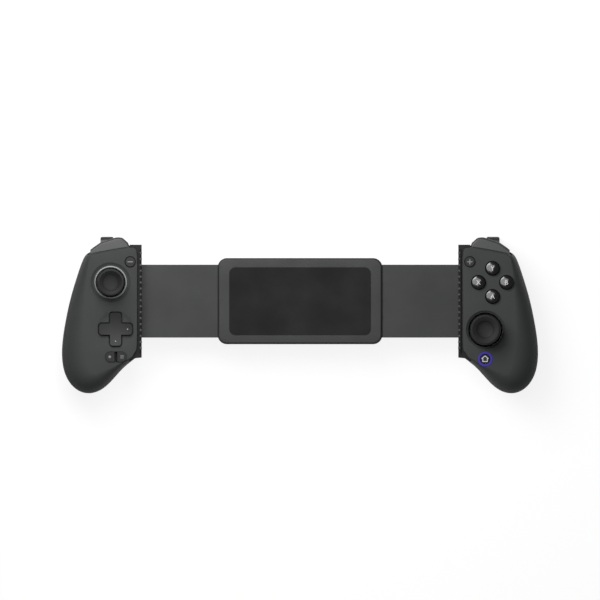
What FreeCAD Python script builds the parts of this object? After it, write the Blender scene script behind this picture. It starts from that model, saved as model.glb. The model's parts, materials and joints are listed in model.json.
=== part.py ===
import FreeCAD
import Part
import Sketcher
import math
import os
from types import SimpleNamespace
from FreeCAD import Placement, Rotation, Vector

# Mobile game controller that stretches round a phone or a small tablet.
# It lies on its back: X to the right of the player, Y towards the bumpers, Z out of the face.
# "out" is a distance outwards from the wall that clamps the device, "up" is along Y.

SIZES = {
    # the telescopic bridge and the bay over it
    "jaw_distance": 102.7, "closed_distance": 55.0,
    "bridge_middle": 9.0, "bridge_half": 53.5, "bridge_width": 56.0, "bridge_front": 32.0,
    "bridge_depth": 10.0, "bridge_skin": 2.0, "bridge_cheek": 4.0, "bridge_corner": 6.0, "bridge_round": 1.4,
    "slide_gap": 0.3, "layer_gap": 0.1, "tray_length": 54.6, "rail_past_middle": 5.9, "stop_lap": 1.2,
    "tooth_module": 1.0, "pinion_teeth": 14.0, "tooth_play": 0.14, "post_radius": 2.0, "post_play": 0.05,
    "spring_radius": 1.3, "spring_slot": 3.4, "spring_up": 16.0, "spring_post": 1.2, "spring_anchor": 50.5,
    "spring_end": 5.0, "ribbon_width": 3.6, "ribbon_thick": 0.3, "ribbon_tab": 5.0,
    "rest_pad_length": 92.0, "rest_pad_width": 44.0, "rest_pad_thick": 0.8, "rest_pad_corner": 4.0,
    # a grip's overall form
    "grip_width": 52.0, "grip_top": 45.0, "grip_bottom": 51.0, "face_height": 44.0, "girth_drop": 18.0,
    "seam_drop": 10.0, "seam_gap": 0.1, "shell_wall": 2.0, "heel_inset": 21.0, "heel_rise": 28.0,
    "heel_share": 0.14,
    "cradle_wall": 1.6, "cradle_height": 7.0, "weight_play": 0.5,
    # the jaw, its rubber and the chassis
    "jaw_over_top": 0.7, "jaw_rise": 23.3, "jaw_drop": 2.3, "jaw_under_bay": 2.0, "jaw_wall": 1.7,
    "jaw_lip": 0.2,
    "rubber_thick": 1.9, "rib_radius": 0.9, "rib_pitch": 3.85, "rib_count": 17.0, "rib_middle": 9.4,
    "rubber_over_bay": 1.5, "rubber_drop": 0.8, "rubber_margin": 0.6, "socket_lid": 0.6,
    "plate_drop": 6.0, "plate_thick": 2.3,
    "board_thick": 1.2, "inner_gap": 0.3, "board_margin": 1.4, "root_length": 4.6, "socket_wall": 1.6,
    "fit_gap": 0.1,
    "corner_reach": 8.4, "corner_drop": 1.7, "corner_round": 4.0, "jaw_reveal": 2.1,
    # sticks
    "left_stick_out": 20.4, "left_stick_up": 21.2, "right_stick_out": 17.8, "right_stick_up": -9.6,
    "left_cap_radius": 9.1, "right_cap_radius": 10.1, "stick_pivot_rise": 4.5, "cap_rise": 12.6,
    "neck_radius": 4.6,
    "skirt_radius": 10.0, "ring_radius": 10.8, "ring_bore": 9.5, "ring_drop": 0.1, "dish_radius": 13.0,
    "right_hole_radius": 11.4, "right_dish_radius": 12.6, "dish_depth": 1.0,
    "stick_case": 15.4, "stick_bore": 12.6, "case_height": 6.2, "stem_radius": 2.0, "stem_drop": 7.0,
    "case_floor": 0.9,
    "gimbal_half": 4.8, "gimbal_bore": 3.1, "gimbal_axle": 1.2, "stem_axle": 0.9, "axle_play": 0.05,
    "click_travel": 0.5, "gimbal_thick": 3.2, "case_wall_play": 0.2, "stem_foot": 2.3,
    "ring_foot": 1.0, "ring_edge": 0.4,
    # direction pad
    "pad_out": 17.2, "pad_up": -9.2, "pad_reach": 10.7, "pad_arm": 7.2, "pad_gap": 0.8, "pad_corner": 1.7,
    "pad_inner_corner": 0.7, "pad_rise": 2.2, "pad_dish": 48.0, "pad_dish_depth": 1.3,
    "pad_pivot_rise": 8.5, "pad_disc": 12.2, "pad_disc_rise": 1.4, "pad_disc_thick": 1.0,
    "pad_dish_radius": 12.4,
    "rocker_radius": 2.2, "rocker_length": 3.0, "rocker_axle": 0.8, "rocker_reach": 4.2, "hub_bore": 2.7,
    "hub_wall": 1.7,
    "hub_drop": 1.6, "sheet_radius": 9.6, "sheet_thick": 1.0, "dome_step": 7.0, "dome_rise": 3.5,
    # round and pill buttons
    "action_out": 22.4, "action_up": 21.2, "action_step": 9.15, "action_radius": 4.6, "action_rise": 2.2,
    "dome_radius": 20.0, "dome_height": 0.4, "button_step": 1.2, "button_edge": 0.4, "dome_foot": 2.7,
    "dome_tip": 1.7,
    "small_out": 7.7, "small_inset": 10.4, "small_radius": 3.4, "small_rise": 1.2,
    "home_out": 17.6, "home_up": -28.6, "home_radius": 3.1, "home_rise": 0.9, "light_radius": 4.9,
    "light_gap": 0.2, "light_flange": 0.9, "light_depth": 4.0,
    "pill_out": 17.0, "pill_up": -27.2, "pill_reach": 6.9, "pill_radius": 3.2, "pill_split": 2.0,
    "pill_rise": 1.0,
    "button_gap": 0.25, "button_foot_rise": 4.9, "flange_drop": 0.4, "flange_thick": 1.0, "flange_lip": 0.6,
    "pill_lip": 0.4, "flange_gap": 0.1,
    # bumper, trigger and back button
    "bumper_near": 8.4, "bumper_far": 33.6, "bumper_inset": 5.2, "bumper_drop": 4.3, "bumper_height": 12.7,
    "bumper_gap": 0.4, "bumper_travel": 1.0, "bumper_edge": 1.6,
    "trigger_near": 13.0, "trigger_far": 27.0, "trigger_gap": 1.4, "well_wall": 1.6, "well_inset": 15.0,
    "trigger_inset": 7.0, "trigger_height": 20.0, "trunnion_radius": 1.2, "hub_radius": 3.6,
    "coil_radius": 2.9,
    "coil_width": 3.0, "pin_reach": 1.2, "coil_room": 1.1,
    "back_button_out": 22.0, "back_button_up": 3.0, "back_button_half": 4.6, "back_button_reach": 9.5,
    "back_button_proud": 0.6, "back_button_play": 0.3, "back_button_stem": 2.0, "back_button_flesh": 1.0,
    # inside
    "motor_inset": 18.0, "motor_rise": 27.0, "motor_radius": 6.5, "motor_bottom": 4.0, "motor_top": 16.0,
    "weight_radius": 7.5, "weight_height": 5.3, "weight_gap": 1.2, "shaft_radius": 0.8,
    "battery_length": 34.0, "battery_width": 18.0, "battery_depth": 6.5, "battery_out": 11.0,
    "battery_up": -11.0,
    "magnet_radius": 2.0, "magnet_thick": 2.0, "magnet_post": 2.7, "magnet_gap": 0.3, "magnet_seat": 0.8,
    "screw_radius": 0.95, "screw_head": 1.9, "screw_boss": 3.0, "screw_play": 0.05, "head_thick": 1.4,
    "port_out": 16.3, "port_rise": 14.4, "port_turn": 48.0, "port_width": 8.94, "port_height": 3.26,
    "port_depth": 7.0,
    "port_play": 0.15, "port_back": 6.0, "port_wall": 0.35,
}


class Size(float):
    """A number that also keeps the formula, in the sheet's cells, that it came from."""

    def __new__(cls, number, formula):
        size = super().__new__(cls, number)
        size.formula = formula
        return size

    def __add__(self, other):
        return Size(float(self) + float(other), f"({self.formula} + {formula_of(other)})")

    def __radd__(self, other):
        return Size(float(other) + float(self), f"({formula_of(other)} + {self.formula})")

    def __sub__(self, other):
        return Size(float(self) - float(other), f"({self.formula} - {formula_of(other)})")

    def __rsub__(self, other):
        return Size(float(other) - float(self), f"({formula_of(other)} - {self.formula})")

    def __mul__(self, other):
        return Size(float(self) * float(other), f"({self.formula} * {formula_of(other)})")

    def __rmul__(self, other):
        return Size(float(other) * float(self), f"({formula_of(other)} * {self.formula})")

    def __truediv__(self, other):
        return Size(float(self) / float(other), f"({self.formula} / {formula_of(other)})")

    def __neg__(self):
        return Size(-float(self), f"(-{self.formula})")


def formula_of(number):
    return number.formula if isinstance(number, Size) else repr(float(number))


doc = FreeCAD.newDocument("controller")
sheet = doc.addObject("Spreadsheet::Sheet", "sizes")
for row, (alias, number) in enumerate(SIZES.items(), start=1):
    sheet.set(f"A{row}", alias)
    sheet.set(f"B{row}", str(number))
    sheet.setAlias(f"B{row}", alias)
doc.recompute()
S = SimpleNamespace(**{alias: Size(sheet.get(alias), f"sizes.{alias}") for alias in SIZES})

nodes = []
BEYOND = 10.0  # how far a tool reaches past what it cuts

# Heights and places that several pieces share
bridge_back = S.bridge_front - S.bridge_depth
cover_split = S.bridge_front - S.bridge_depth / 2
plate_bottom = S.bridge_front - S.plate_drop
plate_top = plate_bottom + S.plate_thick
board_top = plate_top + S.board_thick
girth_height = S.face_height - S.girth_drop
seam_height = S.face_height - S.seam_drop
face_roof = S.face_height - S.shell_wall
jaw_front = S.face_height - S.jaw_drop
jaw_back = S.bridge_front - S.jaw_under_bay
jaw_top = S.grip_top + S.jaw_over_top
jaw_bottom = S.jaw_rise - S.grip_bottom
rubber_back = S.bridge_front + S.rubber_over_bay
rubber_front = S.face_height - S.rubber_drop
heel_out = S.grip_width - S.heel_inset
heel_up = S.heel_rise - S.grip_bottom
stick_pivot = board_top + S.stick_pivot_rise
case_top = board_top + S.case_height
cap_top = S.face_height + S.cap_rise
ring_top = S.face_height - S.ring_drop
pad_pivot = board_top + S.pad_pivot_rise
pad_top = S.face_height + S.pad_rise
action_top = S.face_height + S.action_rise
small_up = S.grip_top - S.small_inset
small_top = S.face_height + S.small_rise
home_top = S.face_height + S.home_rise
pill_top = S.face_height + S.pill_rise
button_foot = board_top + S.button_foot_rise
flange_top = face_roof - S.flange_drop
bumper_front = S.face_height - S.bumper_drop
bumper_back = bumper_front - S.bumper_height
bumper_inner = S.grip_top - S.bumper_inset
trigger_up = S.grip_top - S.trigger_inset
well_floor = S.grip_top - S.well_inset
well_roof = plate_bottom - S.well_wall
motor_out = S.grip_width - S.motor_inset
motor_up = S.motor_rise - S.grip_bottom
weight_top = S.motor_top + S.weight_height
cradle_top = S.motor_bottom + S.cradle_height
port_up = S.port_rise - S.grip_bottom
battery_bottom = plate_bottom - S.battery_depth


def keep(name, thing):
    """Mark an object as a finished piece of the controller."""
    thing.Label = name
    nodes.append((name, thing))
    return thing


# Building blocks


def place(thing, x, y, z):
    for axis, number in zip("xyz", (x, y, z)):
        thing.setExpression(f"Placement.Base.{axis}", formula_of(number))


def box(name, xs, ys, zs):
    """A block between two planes each way."""
    block = doc.addObject("Part::Box", name)
    for side, (start, end) in zip(("Length", "Width", "Height"), (xs, ys, zs)):
        block.setExpression(side, formula_of(end - start))
    place(block, xs[0], ys[0], zs[0])
    return block


def rod(name, radius, x, y, zs):
    """An upright cylinder."""
    cylinder = doc.addObject("Part::Cylinder", name)
    cylinder.setExpression("Radius", formula_of(radius))
    cylinder.setExpression("Height", formula_of(zs[1] - zs[0]))
    place(cylinder, x, y, zs[0])
    return cylinder


def level_rod(name, radius, starts, length, axis):
    """A cylinder lying along X or Y."""
    cylinder = doc.addObject("Part::Cylinder", name)
    cylinder.setExpression("Radius", formula_of(radius))
    cylinder.setExpression("Height", formula_of(length))
    turn = Rotation(Vector(0, 1, 0), 90) if axis == "X" else Rotation(Vector(1, 0, 0), -90)
    cylinder.Placement = Placement(Vector(), turn)
    place(cylinder, *starts)
    return cylinder


def cone(name, low_radius, high_radius, x, y, zs):
    funnel = doc.addObject("Part::Cone", name)
    funnel.setExpression("Radius1", formula_of(low_radius))
    funnel.setExpression("Radius2", formula_of(high_radius))
    funnel.setExpression("Height", formula_of(zs[1] - zs[0]))
    place(funnel, x, y, zs[0])
    return funnel


def ball(name, radius, x, y, z):
    sphere = doc.addObject("Part::Sphere", name)
    sphere.setExpression("Radius", formula_of(radius))
    place(sphere, x, y, z)
    return sphere


def fuse(name, things):
    joined = doc.addObject("Part::MultiFuse", name)
    joined.Shapes = things
    return joined


def cut(name, base, tools):
    carved = doc.addObject("Part::Cut", name)
    carved.Base = base
    carved.Tool = tools[0] if len(tools) == 1 else fuse(f"{name}_tools", tools)
    return carved


def common(name, base, tool):
    shared = doc.addObject("Part::Common", name)
    shared.Base = base
    shared.Tool = tool
    return shared


def made(name, shape):
    """A piece whose shape is worked out here from the sheet's sizes."""
    thing = doc.addObject("Part::Feature", name)
    thing.Shape = shape
    return thing


# Sketched bodies


def sketch_on(body, plane, name):
    sketch = body.newObject("Sketcher::SketchObject", name)
    origin = [part for part in body.Origin.OriginFeatures if part.Role == plane][0]
    sketch.AttachmentSupport = [(origin, "")]
    sketch.MapMode = "FlatFace"
    return sketch


def pin(sketch, geometry, position, x, y):
    """Hold a sketch point at a place given by two formulas."""
    for kind, number, axis in (("DistanceX", x, -2), ("DistanceY", y, -1)):
        if float(number) == 0.0:
            sketch.addConstraint(Sketcher.Constraint("PointOnObject", geometry, position, axis))
        else:
            spot = sketch.addConstraint(Sketcher.Constraint(kind, -1, 1, geometry, position, float(number)))
            sketch.setExpression(f"Constraints[{spot}]", formula_of(number))


def draw(sketch, outline):
    """A closed outline of (x, y) points; a point marked "through" lies on an arc between its neighbours."""
    corners = [spot for spot in range(len(outline)) if len(outline[spot]) == 2]
    ends = []
    for here, corner in enumerate(corners):
        following = corners[(here + 1) % len(corners)]
        start = Vector(*[float(number) for number in outline[corner]], 0)
        end = Vector(*[float(number) for number in outline[following]], 0)
        between = outline[(corner + 1) % len(outline)]
        if len(between) == 2:
            line = sketch.addGeometry(Part.LineSegment(start, end))
            ends.append((line, 1, 2))
            continue
        middle = Vector(float(between[0]), float(between[1]), 0)
        anticlockwise = (middle - start).cross(end - middle).z > 0
        first, last = (start, end) if anticlockwise else (end, start)
        arc = sketch.addGeometry(Part.Arc(first, middle, last))
        ends.append((arc, 1, 2) if anticlockwise else (arc, 2, 1))
        on_arc = sketch.addGeometry(Part.Point(middle), True)
        pin(sketch, on_arc, 1, between[0], between[1])
        sketch.addConstraint(Sketcher.Constraint("PointOnObject", on_arc, 1, arc))
    for here, (geometry, start, end) in enumerate(ends):
        following = ends[(here + 1) % len(ends)]
        sketch.addConstraint(Sketcher.Constraint("Coincident", geometry, end, following[0], following[1]))
        pin(sketch, geometry, start, *outline[corners[here]])


def turned(name, x, y, outline):
    """A piece turned about an upright axis from its half outline of (radius, height) points."""
    body = doc.addObject("PartDesign::Body", name)
    sketch = sketch_on(body, "XZ_Plane", f"{name}_half")
    draw(sketch, outline)
    turn = body.newObject("PartDesign::Revolution", f"{name}_turn")
    turn.Profile = sketch
    turn.ReferenceAxis = (sketch, ["V_Axis"])
    turn.Angle = 360
    body.Tip = turn
    place(body, x, y, 0)
    return body


def pad(body, name, outline, zs):
    """Add an upright block with the given plan to a body."""
    sketch = sketch_on(body, "XY_Plane", f"{name}_plan")
    sketch.setExpression("AttachmentOffset.Base.z", formula_of(zs[0]))
    draw(sketch, outline)
    block = body.newObject("PartDesign::Pad", name)
    block.Profile = sketch
    block.setExpression("Length", formula_of(zs[1] - zs[0]))
    body.Tip = block
    return block


def oblong(xs, ys):
    return [(xs[0], ys[0]), (xs[1], ys[0]), (xs[1], ys[1]), (xs[0], ys[1])]


# Which side a piece is on


def sign(side):
    return 1 if side == "right" else -1


def x_of(side, out):
    return S.jaw_distance + out if side == "right" else -(S.jaw_distance + out)


def xs_of(side, near, far):
    return (x_of(side, near), x_of(side, far)) if side == "right" else (x_of(side, far), x_of(side, near))


# The sculpted form of a grip

# distance outwards, height, roll of the front edge, fullness of the back; round the outline from the jaw
GRIP_POINTS = [
    (2.0, 18.0, 1.5, 0.35), (2.0, -2.0, 1.5, 0.35), (2.0, -17.0, 1.5, 0.4), (2.9, -26.0, 2.0, 0.5),
    (7.4, -30.3, 2.6, 0.6), (13.0, -35.2, 3.8, 0.8), (18.8, -41.7, 8.0, 0.95), (26.0, -48.3, 12.0, 1.0),
    (35.4, -51.0, 15.5, 1.0), (44.6, -46.8, 17.0, 1.0), (50.6, -36.6, 17.0, 1.0), (52.0, -23.0, 16.0, 1.0),
    (50.4, -8.5, 13.5, 0.9), (46.8, 9.5, 10.5, 0.7), (42.0, 25.5, 6.5, 0.45), (37.8, 37.0, 4.0, 0.35),
    (33.5, 40.9, 3.0, 0.3), (24.0, 42.9, 2.5, 0.3), (10.5, 45.0, 2.0, 0.3), (4.4, 44.3, 1.8, 0.3),
    (2.0, 39.0, 1.5, 0.3),
]
QUARTER = 0.5523  # the share of a radius at which the poles of a quarter round stand
DRAWN_WIDTH = max(point[0] for point in GRIP_POINTS)
DRAWN_TOP = max(point[1] for point in GRIP_POINTS)
DRAWN_BOTTOM = -min(point[1] for point in GRIP_POINTS)
action_out = S.action_out * (S.grip_width / DRAWN_WIDTH)


def on_grip(out, up):
    """A drawn place, stretched with the grip's width and height."""
    tall = S.grip_top / DRAWN_TOP if up > 0 else S.grip_bottom / DRAWN_BOTTOM
    return S.grip_width * (out / DRAWN_WIDTH), tall * up


def grip_form(side, inset):
    """The outside of a grip, drawn in by inset: poles from the face's edge round the girth to the heel."""
    points = [Vector(*on_grip(out, up), 0) for out, up, roll, belly in GRIP_POINTS]
    count = len(points)
    face = float(S.face_height - inset)
    girth = float(girth_height)
    heel = Vector(heel_out, heel_up, 0)
    poles = []
    for here, (out, up, roll, belly) in enumerate(GRIP_POINTS):
        before, point, after = points[here - 1], points[here], points[(here + 1) % count]
        pole = point + (point * 2 - before - after) * (1 / 6)
        along = (after - before).normalize()
        inwards = Vector(-along.y, along.x, 0)
        edge = pole + inwards * inset
        shoulder = pole + inwards * (inset + roll)
        roll_pole = pole + inwards * (inset + roll * (1 - QUARTER))
        flank = girth - QUARTER * (girth - inset) * (0.80 + 0.20 * belly)
        foot = heel + (edge - heel) * S.heel_share
        bulge = foot + (edge - foot) * (0.42 + 0.24 * (1 - belly))
        lift = inset + (1 - belly) * 0.55 * (flank - inset)
        poles.append([
            Vector(shoulder.x, shoulder.y, face), Vector(roll_pole.x, roll_pole.y, face),
            Vector(edge.x, edge.y, girth + QUARTER * (face - girth)), Vector(edge.x, edge.y, flank),
            Vector(bulge.x, bulge.y, lift), Vector(foot.x, foot.y, inset),
        ])
    poles = [[Vector(x_of(side, pole.x), pole.y, pole.z) for pole in ring] for ring in poles]
    girth_share = (face - girth) / (face - inset)
    surface = Part.BSplineSurface()
    surface.buildFromPolesMultsKnots(
        poles, [1] * (count + 1), [4, 2, 4], list(range(count + 1)), [0, girth_share, 1], True, False, 3, 3
    )
    flank_face = surface.toShape()
    ends = [edge for edge in flank_face.Edges if edge.BoundBox.ZLength < 1e-6]
    shell = Part.Shell([flank_face] + [Part.Face(Part.Wire([edge])) for edge in ends])
    shell.sewShape()
    return Part.Solid(shell)


def lying_loft(outline, xs):
    """A profile of (up, height) points, some marked "through", drawn out along X."""
    edges = []
    corners = [spot for spot in range(len(outline)) if len(outline[spot]) == 2]
    for here, corner in enumerate(corners):
        following = corners[(here + 1) % len(corners)]
        start, end = Vector(0, *outline[corner]), Vector(0, *outline[following])
        between = outline[(corner + 1) % len(outline)]
        if len(between) == 2:
            edges.append(Part.makeLine(start, end))
        else:
            edges.append(Part.Arc(start, Vector(0, between[0], between[1]), end).toShape())
    face = Part.Face(Part.Wire(edges))
    solid = face.extrude(Vector(xs[1] - xs[0], 0, 0))
    solid.translate(Vector(xs[0], 0, 0))
    return solid


def upright(outline, zs):
    """A plan of (x, y) points, some marked "through", drawn up along Z."""
    edges = []
    corners = [spot for spot in range(len(outline)) if len(outline[spot]) == 2]
    for here, corner in enumerate(corners):
        following = corners[(here + 1) % len(corners)]
        start, end = Vector(*outline[corner], zs[0]), Vector(*outline[following], zs[0])
        between = outline[(corner + 1) % len(outline)]
        if len(between) == 2:
            edges.append(Part.makeLine(start, end))
        else:
            edges.append(Part.Arc(start, Vector(between[0], between[1], zs[0]), end).toShape())
    return Part.Face(Part.Wire(edges)).extrude(Vector(0, 0, zs[1] - zs[0]))


# The bridge between the grips

low_layer = (bridge_back + S.bridge_skin + S.layer_gap, cover_split - S.layer_gap)
high_layer = (cover_split + S.layer_gap, S.bridge_front - S.bridge_skin - S.layer_gap)
bridge_ys = (S.bridge_middle - S.bridge_width / 2, S.bridge_middle + S.bridge_width / 2)
channel_half = S.bridge_width / 2 - S.bridge_cheek
arm_half = channel_half - S.slide_gap
pitch_radius = S.tooth_module * S.pinion_teeth / 2
tooth_pitch = S.tooth_module * math.pi
ADDENDUM = 0.8
DEDENDUM = 1.1
PRESSURE = math.radians(20)
SCREW_STATIONS = (-0.82, 0.0, 0.82)


def rounded_oblong(xs, ys, corner):
    """A rectangle with round corners, as an outline."""
    outline = []
    share = 1 - math.sqrt(0.5)
    for x, y, way_x, way_y in (
        (xs[1], ys[0], -1, 1), (xs[1], ys[1], -1, -1), (xs[0], ys[1], 1, -1), (xs[0], ys[0], 1, 1)
    ):
        along = (x + way_x * corner, y)
        across = (x, y + way_y * corner)
        middle = (x + way_x * corner * share, y + way_y * corner * share, "through")
        outline += [along, middle, across] if way_x * way_y < 0 else [across, middle, along]
    return outline


def soften(body, block, height, radius):
    """Round the rim of the block's level face at a height."""
    doc.recompute()
    for spot, face in enumerate(block.Shape.Faces, start=1):
        if face.BoundBox.ZLength < 1e-6 and abs(face.BoundBox.ZMin - float(height)) < 1e-6:
            rim = body.newObject("PartDesign::Fillet", f"{block.Name}_rim")
            rim.Base = (block, [f"Face{spot}"])
            rim.setExpression("Radius", formula_of(radius))
            body.Tip = rim


def cover_block(name, zs, outer_height):
    """A cover's outside: a slab with round corners and a soft rim on its outer face."""
    body = doc.addObject("PartDesign::Body", name)
    block = pad(
        body, f"{name}_slab", rounded_oblong((-S.bridge_half, S.bridge_half), bridge_ys, S.bridge_corner), zs
    )
    soften(body, block, outer_height, S.bridge_round)
    return body


def rest_pad(name, zs):
    """The soft sheet's outline between two heights."""
    body = doc.addObject("PartDesign::Body", name)
    xs = (-S.rest_pad_length / 2, S.rest_pad_length / 2)
    ys = (S.bridge_middle - S.rest_pad_width / 2, S.bridge_middle + S.rest_pad_width / 2)
    pad(body, f"{name}_sheet", rounded_oblong(xs, ys, S.rest_pad_corner), zs)
    return body


def bridge_covers():
    """Two trays that close on each other along the cheeks and leave a channel for both arms."""
    channel_ys = (S.bridge_middle - channel_half, S.bridge_middle + channel_half)
    past_ends = (-S.bridge_half - 1, S.bridge_half + 1)
    back_block = cover_block("back_cover_block", (bridge_back, cover_split), bridge_back)
    back_channel = box(
        "back_cover_channel", past_ends, channel_ys, (bridge_back + S.bridge_skin, cover_split + 1)
    )
    front_block = cover_block("front_cover_block", (cover_split, S.bridge_front), S.bridge_front)
    front_channel = box(
        "front_cover_channel", past_ends, channel_ys, (cover_split - 1, S.bridge_front - S.bridge_skin)
    )
    half_sunk = S.bridge_front - S.rest_pad_thick / 2
    pad_recess = rest_pad("rest_pad_recess", (half_sunk, S.bridge_front + 1))
    holes, pilots, screws = [], [], []
    head = S.screw_head * 0.9
    seat = bridge_back + 2.2
    for row, up in enumerate((bridge_ys[0] + S.bridge_cheek / 2, bridge_ys[1] - S.bridge_cheek / 2)):
        for column, share in enumerate(SCREW_STATIONS):
            along = S.bridge_half * share
            mark = f"{row}{column}"
            holes.append(
                rod(
                    f"bridge_hole_{mark}", S.screw_radius + S.screw_play, along, up,
                    (bridge_back - 1, cover_split + 1)
                )
            )
            holes.append(rod(f"bridge_sink_{mark}", head + S.screw_play, along, up, (bridge_back - 1, seat)))
            pilots.append(
                rod(
                    f"bridge_pilot_{mark}", S.screw_radius + S.screw_play, along, up,
                    (cover_split - 1, S.bridge_front - 1.4)
                )
            )
            screws.append(
                rod(f"bridge_shank_{mark}", S.screw_radius, along, up, (seat, S.bridge_front - 1.6))
            )
            screws.append(rod(f"bridge_head_{mark}", head, along, up, (seat - 1.2, seat)))
    post_zs = (bridge_back + 1, cover_split - S.inner_gap)
    posts = [rod("pinion_post", S.post_radius, 0, S.bridge_middle, post_zs)]
    for side in ("left", "right"):
        way = sign(side)
        posts.append(
            rod(
                f"{side}_spring_post", S.spring_post, -way * S.spring_anchor,
                S.bridge_middle + way * S.spring_up, post_zs
            )
        )
    hollow = cut("back_cover_hollow", back_block, [back_channel] + holes)
    keep("bridge_back_cover", fuse("bridge_back_cover", [hollow] + posts))
    keep("bridge_front_cover", cut("bridge_front_cover", front_block, [front_channel, pad_recess] + pilots))
    keep("bridge_screws", fuse("bridge_screws", screws))
    keep("bridge_rest_pad", rest_pad("bridge_rest_pad", (half_sunk, half_sunk + S.rest_pad_thick)))


def involute(base_radius, radius, turned_by):
    """The point of an involute at a radius, turned about the centre."""
    roll = math.sqrt(max(radius ** 2 / base_radius ** 2 - 1, 0))
    angle = turned_by + roll - math.atan(roll)
    return radius * math.cos(angle), radius * math.sin(angle)


def pinion():
    """A spur gear with involute flanks that both racks mesh with."""
    teeth = int(S.pinion_teeth)
    module = float(S.tooth_module)
    pitch = float(pitch_radius)
    base = pitch * math.cos(PRESSURE)
    tip = pitch + ADDENDUM * module
    root = pitch - DEDENDUM * module
    half_tooth = (math.pi * module / 2 - float(S.tooth_play)) / 2 / pitch
    to_pitch = math.tan(PRESSURE) - PRESSURE
    radii = [base, base + (tip - base) / 3, base + (tip - base) * 2 / 3, tip]
    corners = []
    for tooth in range(teeth):
        middle = 2 * math.pi * tooth / teeth + math.pi / 2
        start = middle - half_tooth - to_pitch
        rising = [involute(base, radius, start) for radius in radii]
        corners.append((root * math.cos(start), root * math.sin(start)))
        corners += rising
        for x, y in reversed(rising):
            turn = 2 * middle
            corners.append((x * math.cos(turn) + y * math.sin(turn), x * math.sin(turn) - y * math.cos(turn)))
        finish = 2 * middle - start
        corners.append((root * math.cos(finish), root * math.sin(finish)))
    points = [Vector(x, y + S.bridge_middle, low_layer[0] + 0.6) for x, y in corners]
    gear = Part.Face(Part.makePolygon(points + [points[0]])).extrude(
        Vector(0, 0, low_layer[1] - low_layer[0] - 0.6)
    )
    bore = Part.makeCylinder(
        S.post_radius + S.post_play, S.bridge_depth, Vector(0, S.bridge_middle, bridge_back)
    )
    keep("bridge_pinion", made("bridge_pinion", gear.cut(bore)))


def arm(side):
    """A sliding tray with a long rail under it, whose inner edge is a rack."""
    way = sign(side)
    name = f"{side}_arm"
    body = doc.addObject("PartDesign::Body", name)
    tray_inner = S.jaw_distance - S.tray_length
    root_end = S.jaw_distance + S.root_length
    rail_inner = -S.rail_past_middle
    root_start = S.jaw_distance - S.stop_lap
    arm_ys = (S.bridge_middle - arm_half, S.bridge_middle + arm_half)
    rack_line = S.bridge_middle + way * (pitch_radius + DEDENDUM * S.tooth_module)
    tooth_top = rack_line - way * (DEDENDUM + ADDENDUM) * S.tooth_module
    outer_edge = arm_ys[1] if way > 0 else arm_ys[0]

    def ways(start, end):
        return (start, end) if way > 0 else (-end, -start)

    def ups(start, end):
        return (start, end) if way > 0 else (end, start)

    slot_middle = S.bridge_middle + way * S.spring_up
    slot = ups(slot_middle - way * S.spring_slot / 2, slot_middle + way * S.spring_slot / 2)
    slot_end = S.jaw_distance - S.spring_end
    pad(body, f"{name}_tray", oblong(ways(tray_inner, root_end), arm_ys), high_layer)
    pad(
        body, f"{name}_inner_rail",
        oblong(ways(rail_inner, root_end), ups(rack_line, slot[0] if way > 0 else slot[1])), low_layer
    )
    pad(
        body, f"{name}_outer_rail",
        oblong(ways(rail_inner, root_end), ups(slot[1] if way > 0 else slot[0], outer_edge)), low_layer
    )
    pad(body, f"{name}_slot_end", oblong(ways(slot_end, root_end), slot), low_layer)
    pad(body, f"{name}_root", oblong(ways(root_start, root_end), arm_ys), (low_layer[0], high_layer[1]))
    pad(body, f"{name}_layer_web", oblong(ways(tray_inner, root_end), ups(rack_line + way * 1.0, outer_edge)),
        (low_layer[1] - 0.01, high_layer[0] + 0.01))
    tangent = math.tan(PRESSURE)
    half_pitch = (tooth_pitch / 2 - S.tooth_play) / 2
    half_root = half_pitch + DEDENDUM * S.tooth_module * tangent
    half_tip = half_pitch - ADDENDUM * S.tooth_module * tangent
    first = -tooth_pitch * 1.5
    tooth = [
        (way * first - half_root, rack_line), (way * first + half_root, rack_line),
        (way * first + half_tip, tooth_top), (way * first - half_tip, tooth_top),
    ]
    block = pad(body, f"{name}_tooth", tooth, low_layer)
    row = body.newObject("PartDesign::LinearPattern", f"{name}_rack")
    row.Originals = [block]
    row.Direction = (block.Profile[0], ["H_Axis"])
    row.Reversed = way < 0
    count = int((S.jaw_distance - S.closed_distance + pitch_radius) / tooth_pitch) + 2
    row.setExpression("Length", formula_of(tooth_pitch * (count - 1)))
    row.Occurrences = count
    body.Tip = row
    keep(name, body)


def bridge_springs():
    """Two long springs in the rails' slots that pull the grips together."""
    springs = []
    for side in ("left", "right"):
        way = sign(side)
        middle_height = (low_layer[0] + low_layer[1]) / 2
        far = S.jaw_distance - S.spring_end - S.inner_gap
        near = S.spring_anchor - S.spring_post - S.inner_gap
        start = -near if way > 0 else -far
        up = S.bridge_middle + way * S.spring_up
        springs.append(
            level_rod(f"{side}_spring", S.spring_radius, (start, up, middle_height), far + near, "X")
        )
    keep("bridge_return_springs", fuse("bridge_return_springs", springs))


def flex_cable():
    """The flat ribbon that joins the two circuit boards, drawn nearly straight as here."""
    floor = bridge_back + S.bridge_skin
    reach = S.jaw_distance - S.tray_length - 2.0
    up = S.bridge_middle + 2.6
    ys = (up, up + S.ribbon_width)
    run = box("ribbon_run", (-reach, reach), ys, (floor, floor + S.ribbon_thick))
    ends = []
    for side in ("left", "right"):
        xs = (reach, reach + S.ribbon_thick) if side == "right" else (-reach - S.ribbon_thick, -reach)
        ends.append(box(f"{side}_ribbon_rise", xs, ys, (floor, high_layer[0] - 0.3)))
        tab = (reach, reach + S.ribbon_tab) if side == "right" else (-reach - S.ribbon_tab, -reach)
        ends.append(box(f"{side}_ribbon_tab", tab, ys, (high_layer[0] - 0.6, high_layer[0] - 0.3)))
    keep("bridge_flex_cable", fuse("bridge_flex_cable", [run] + ends))


# Parts of a grip


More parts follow.
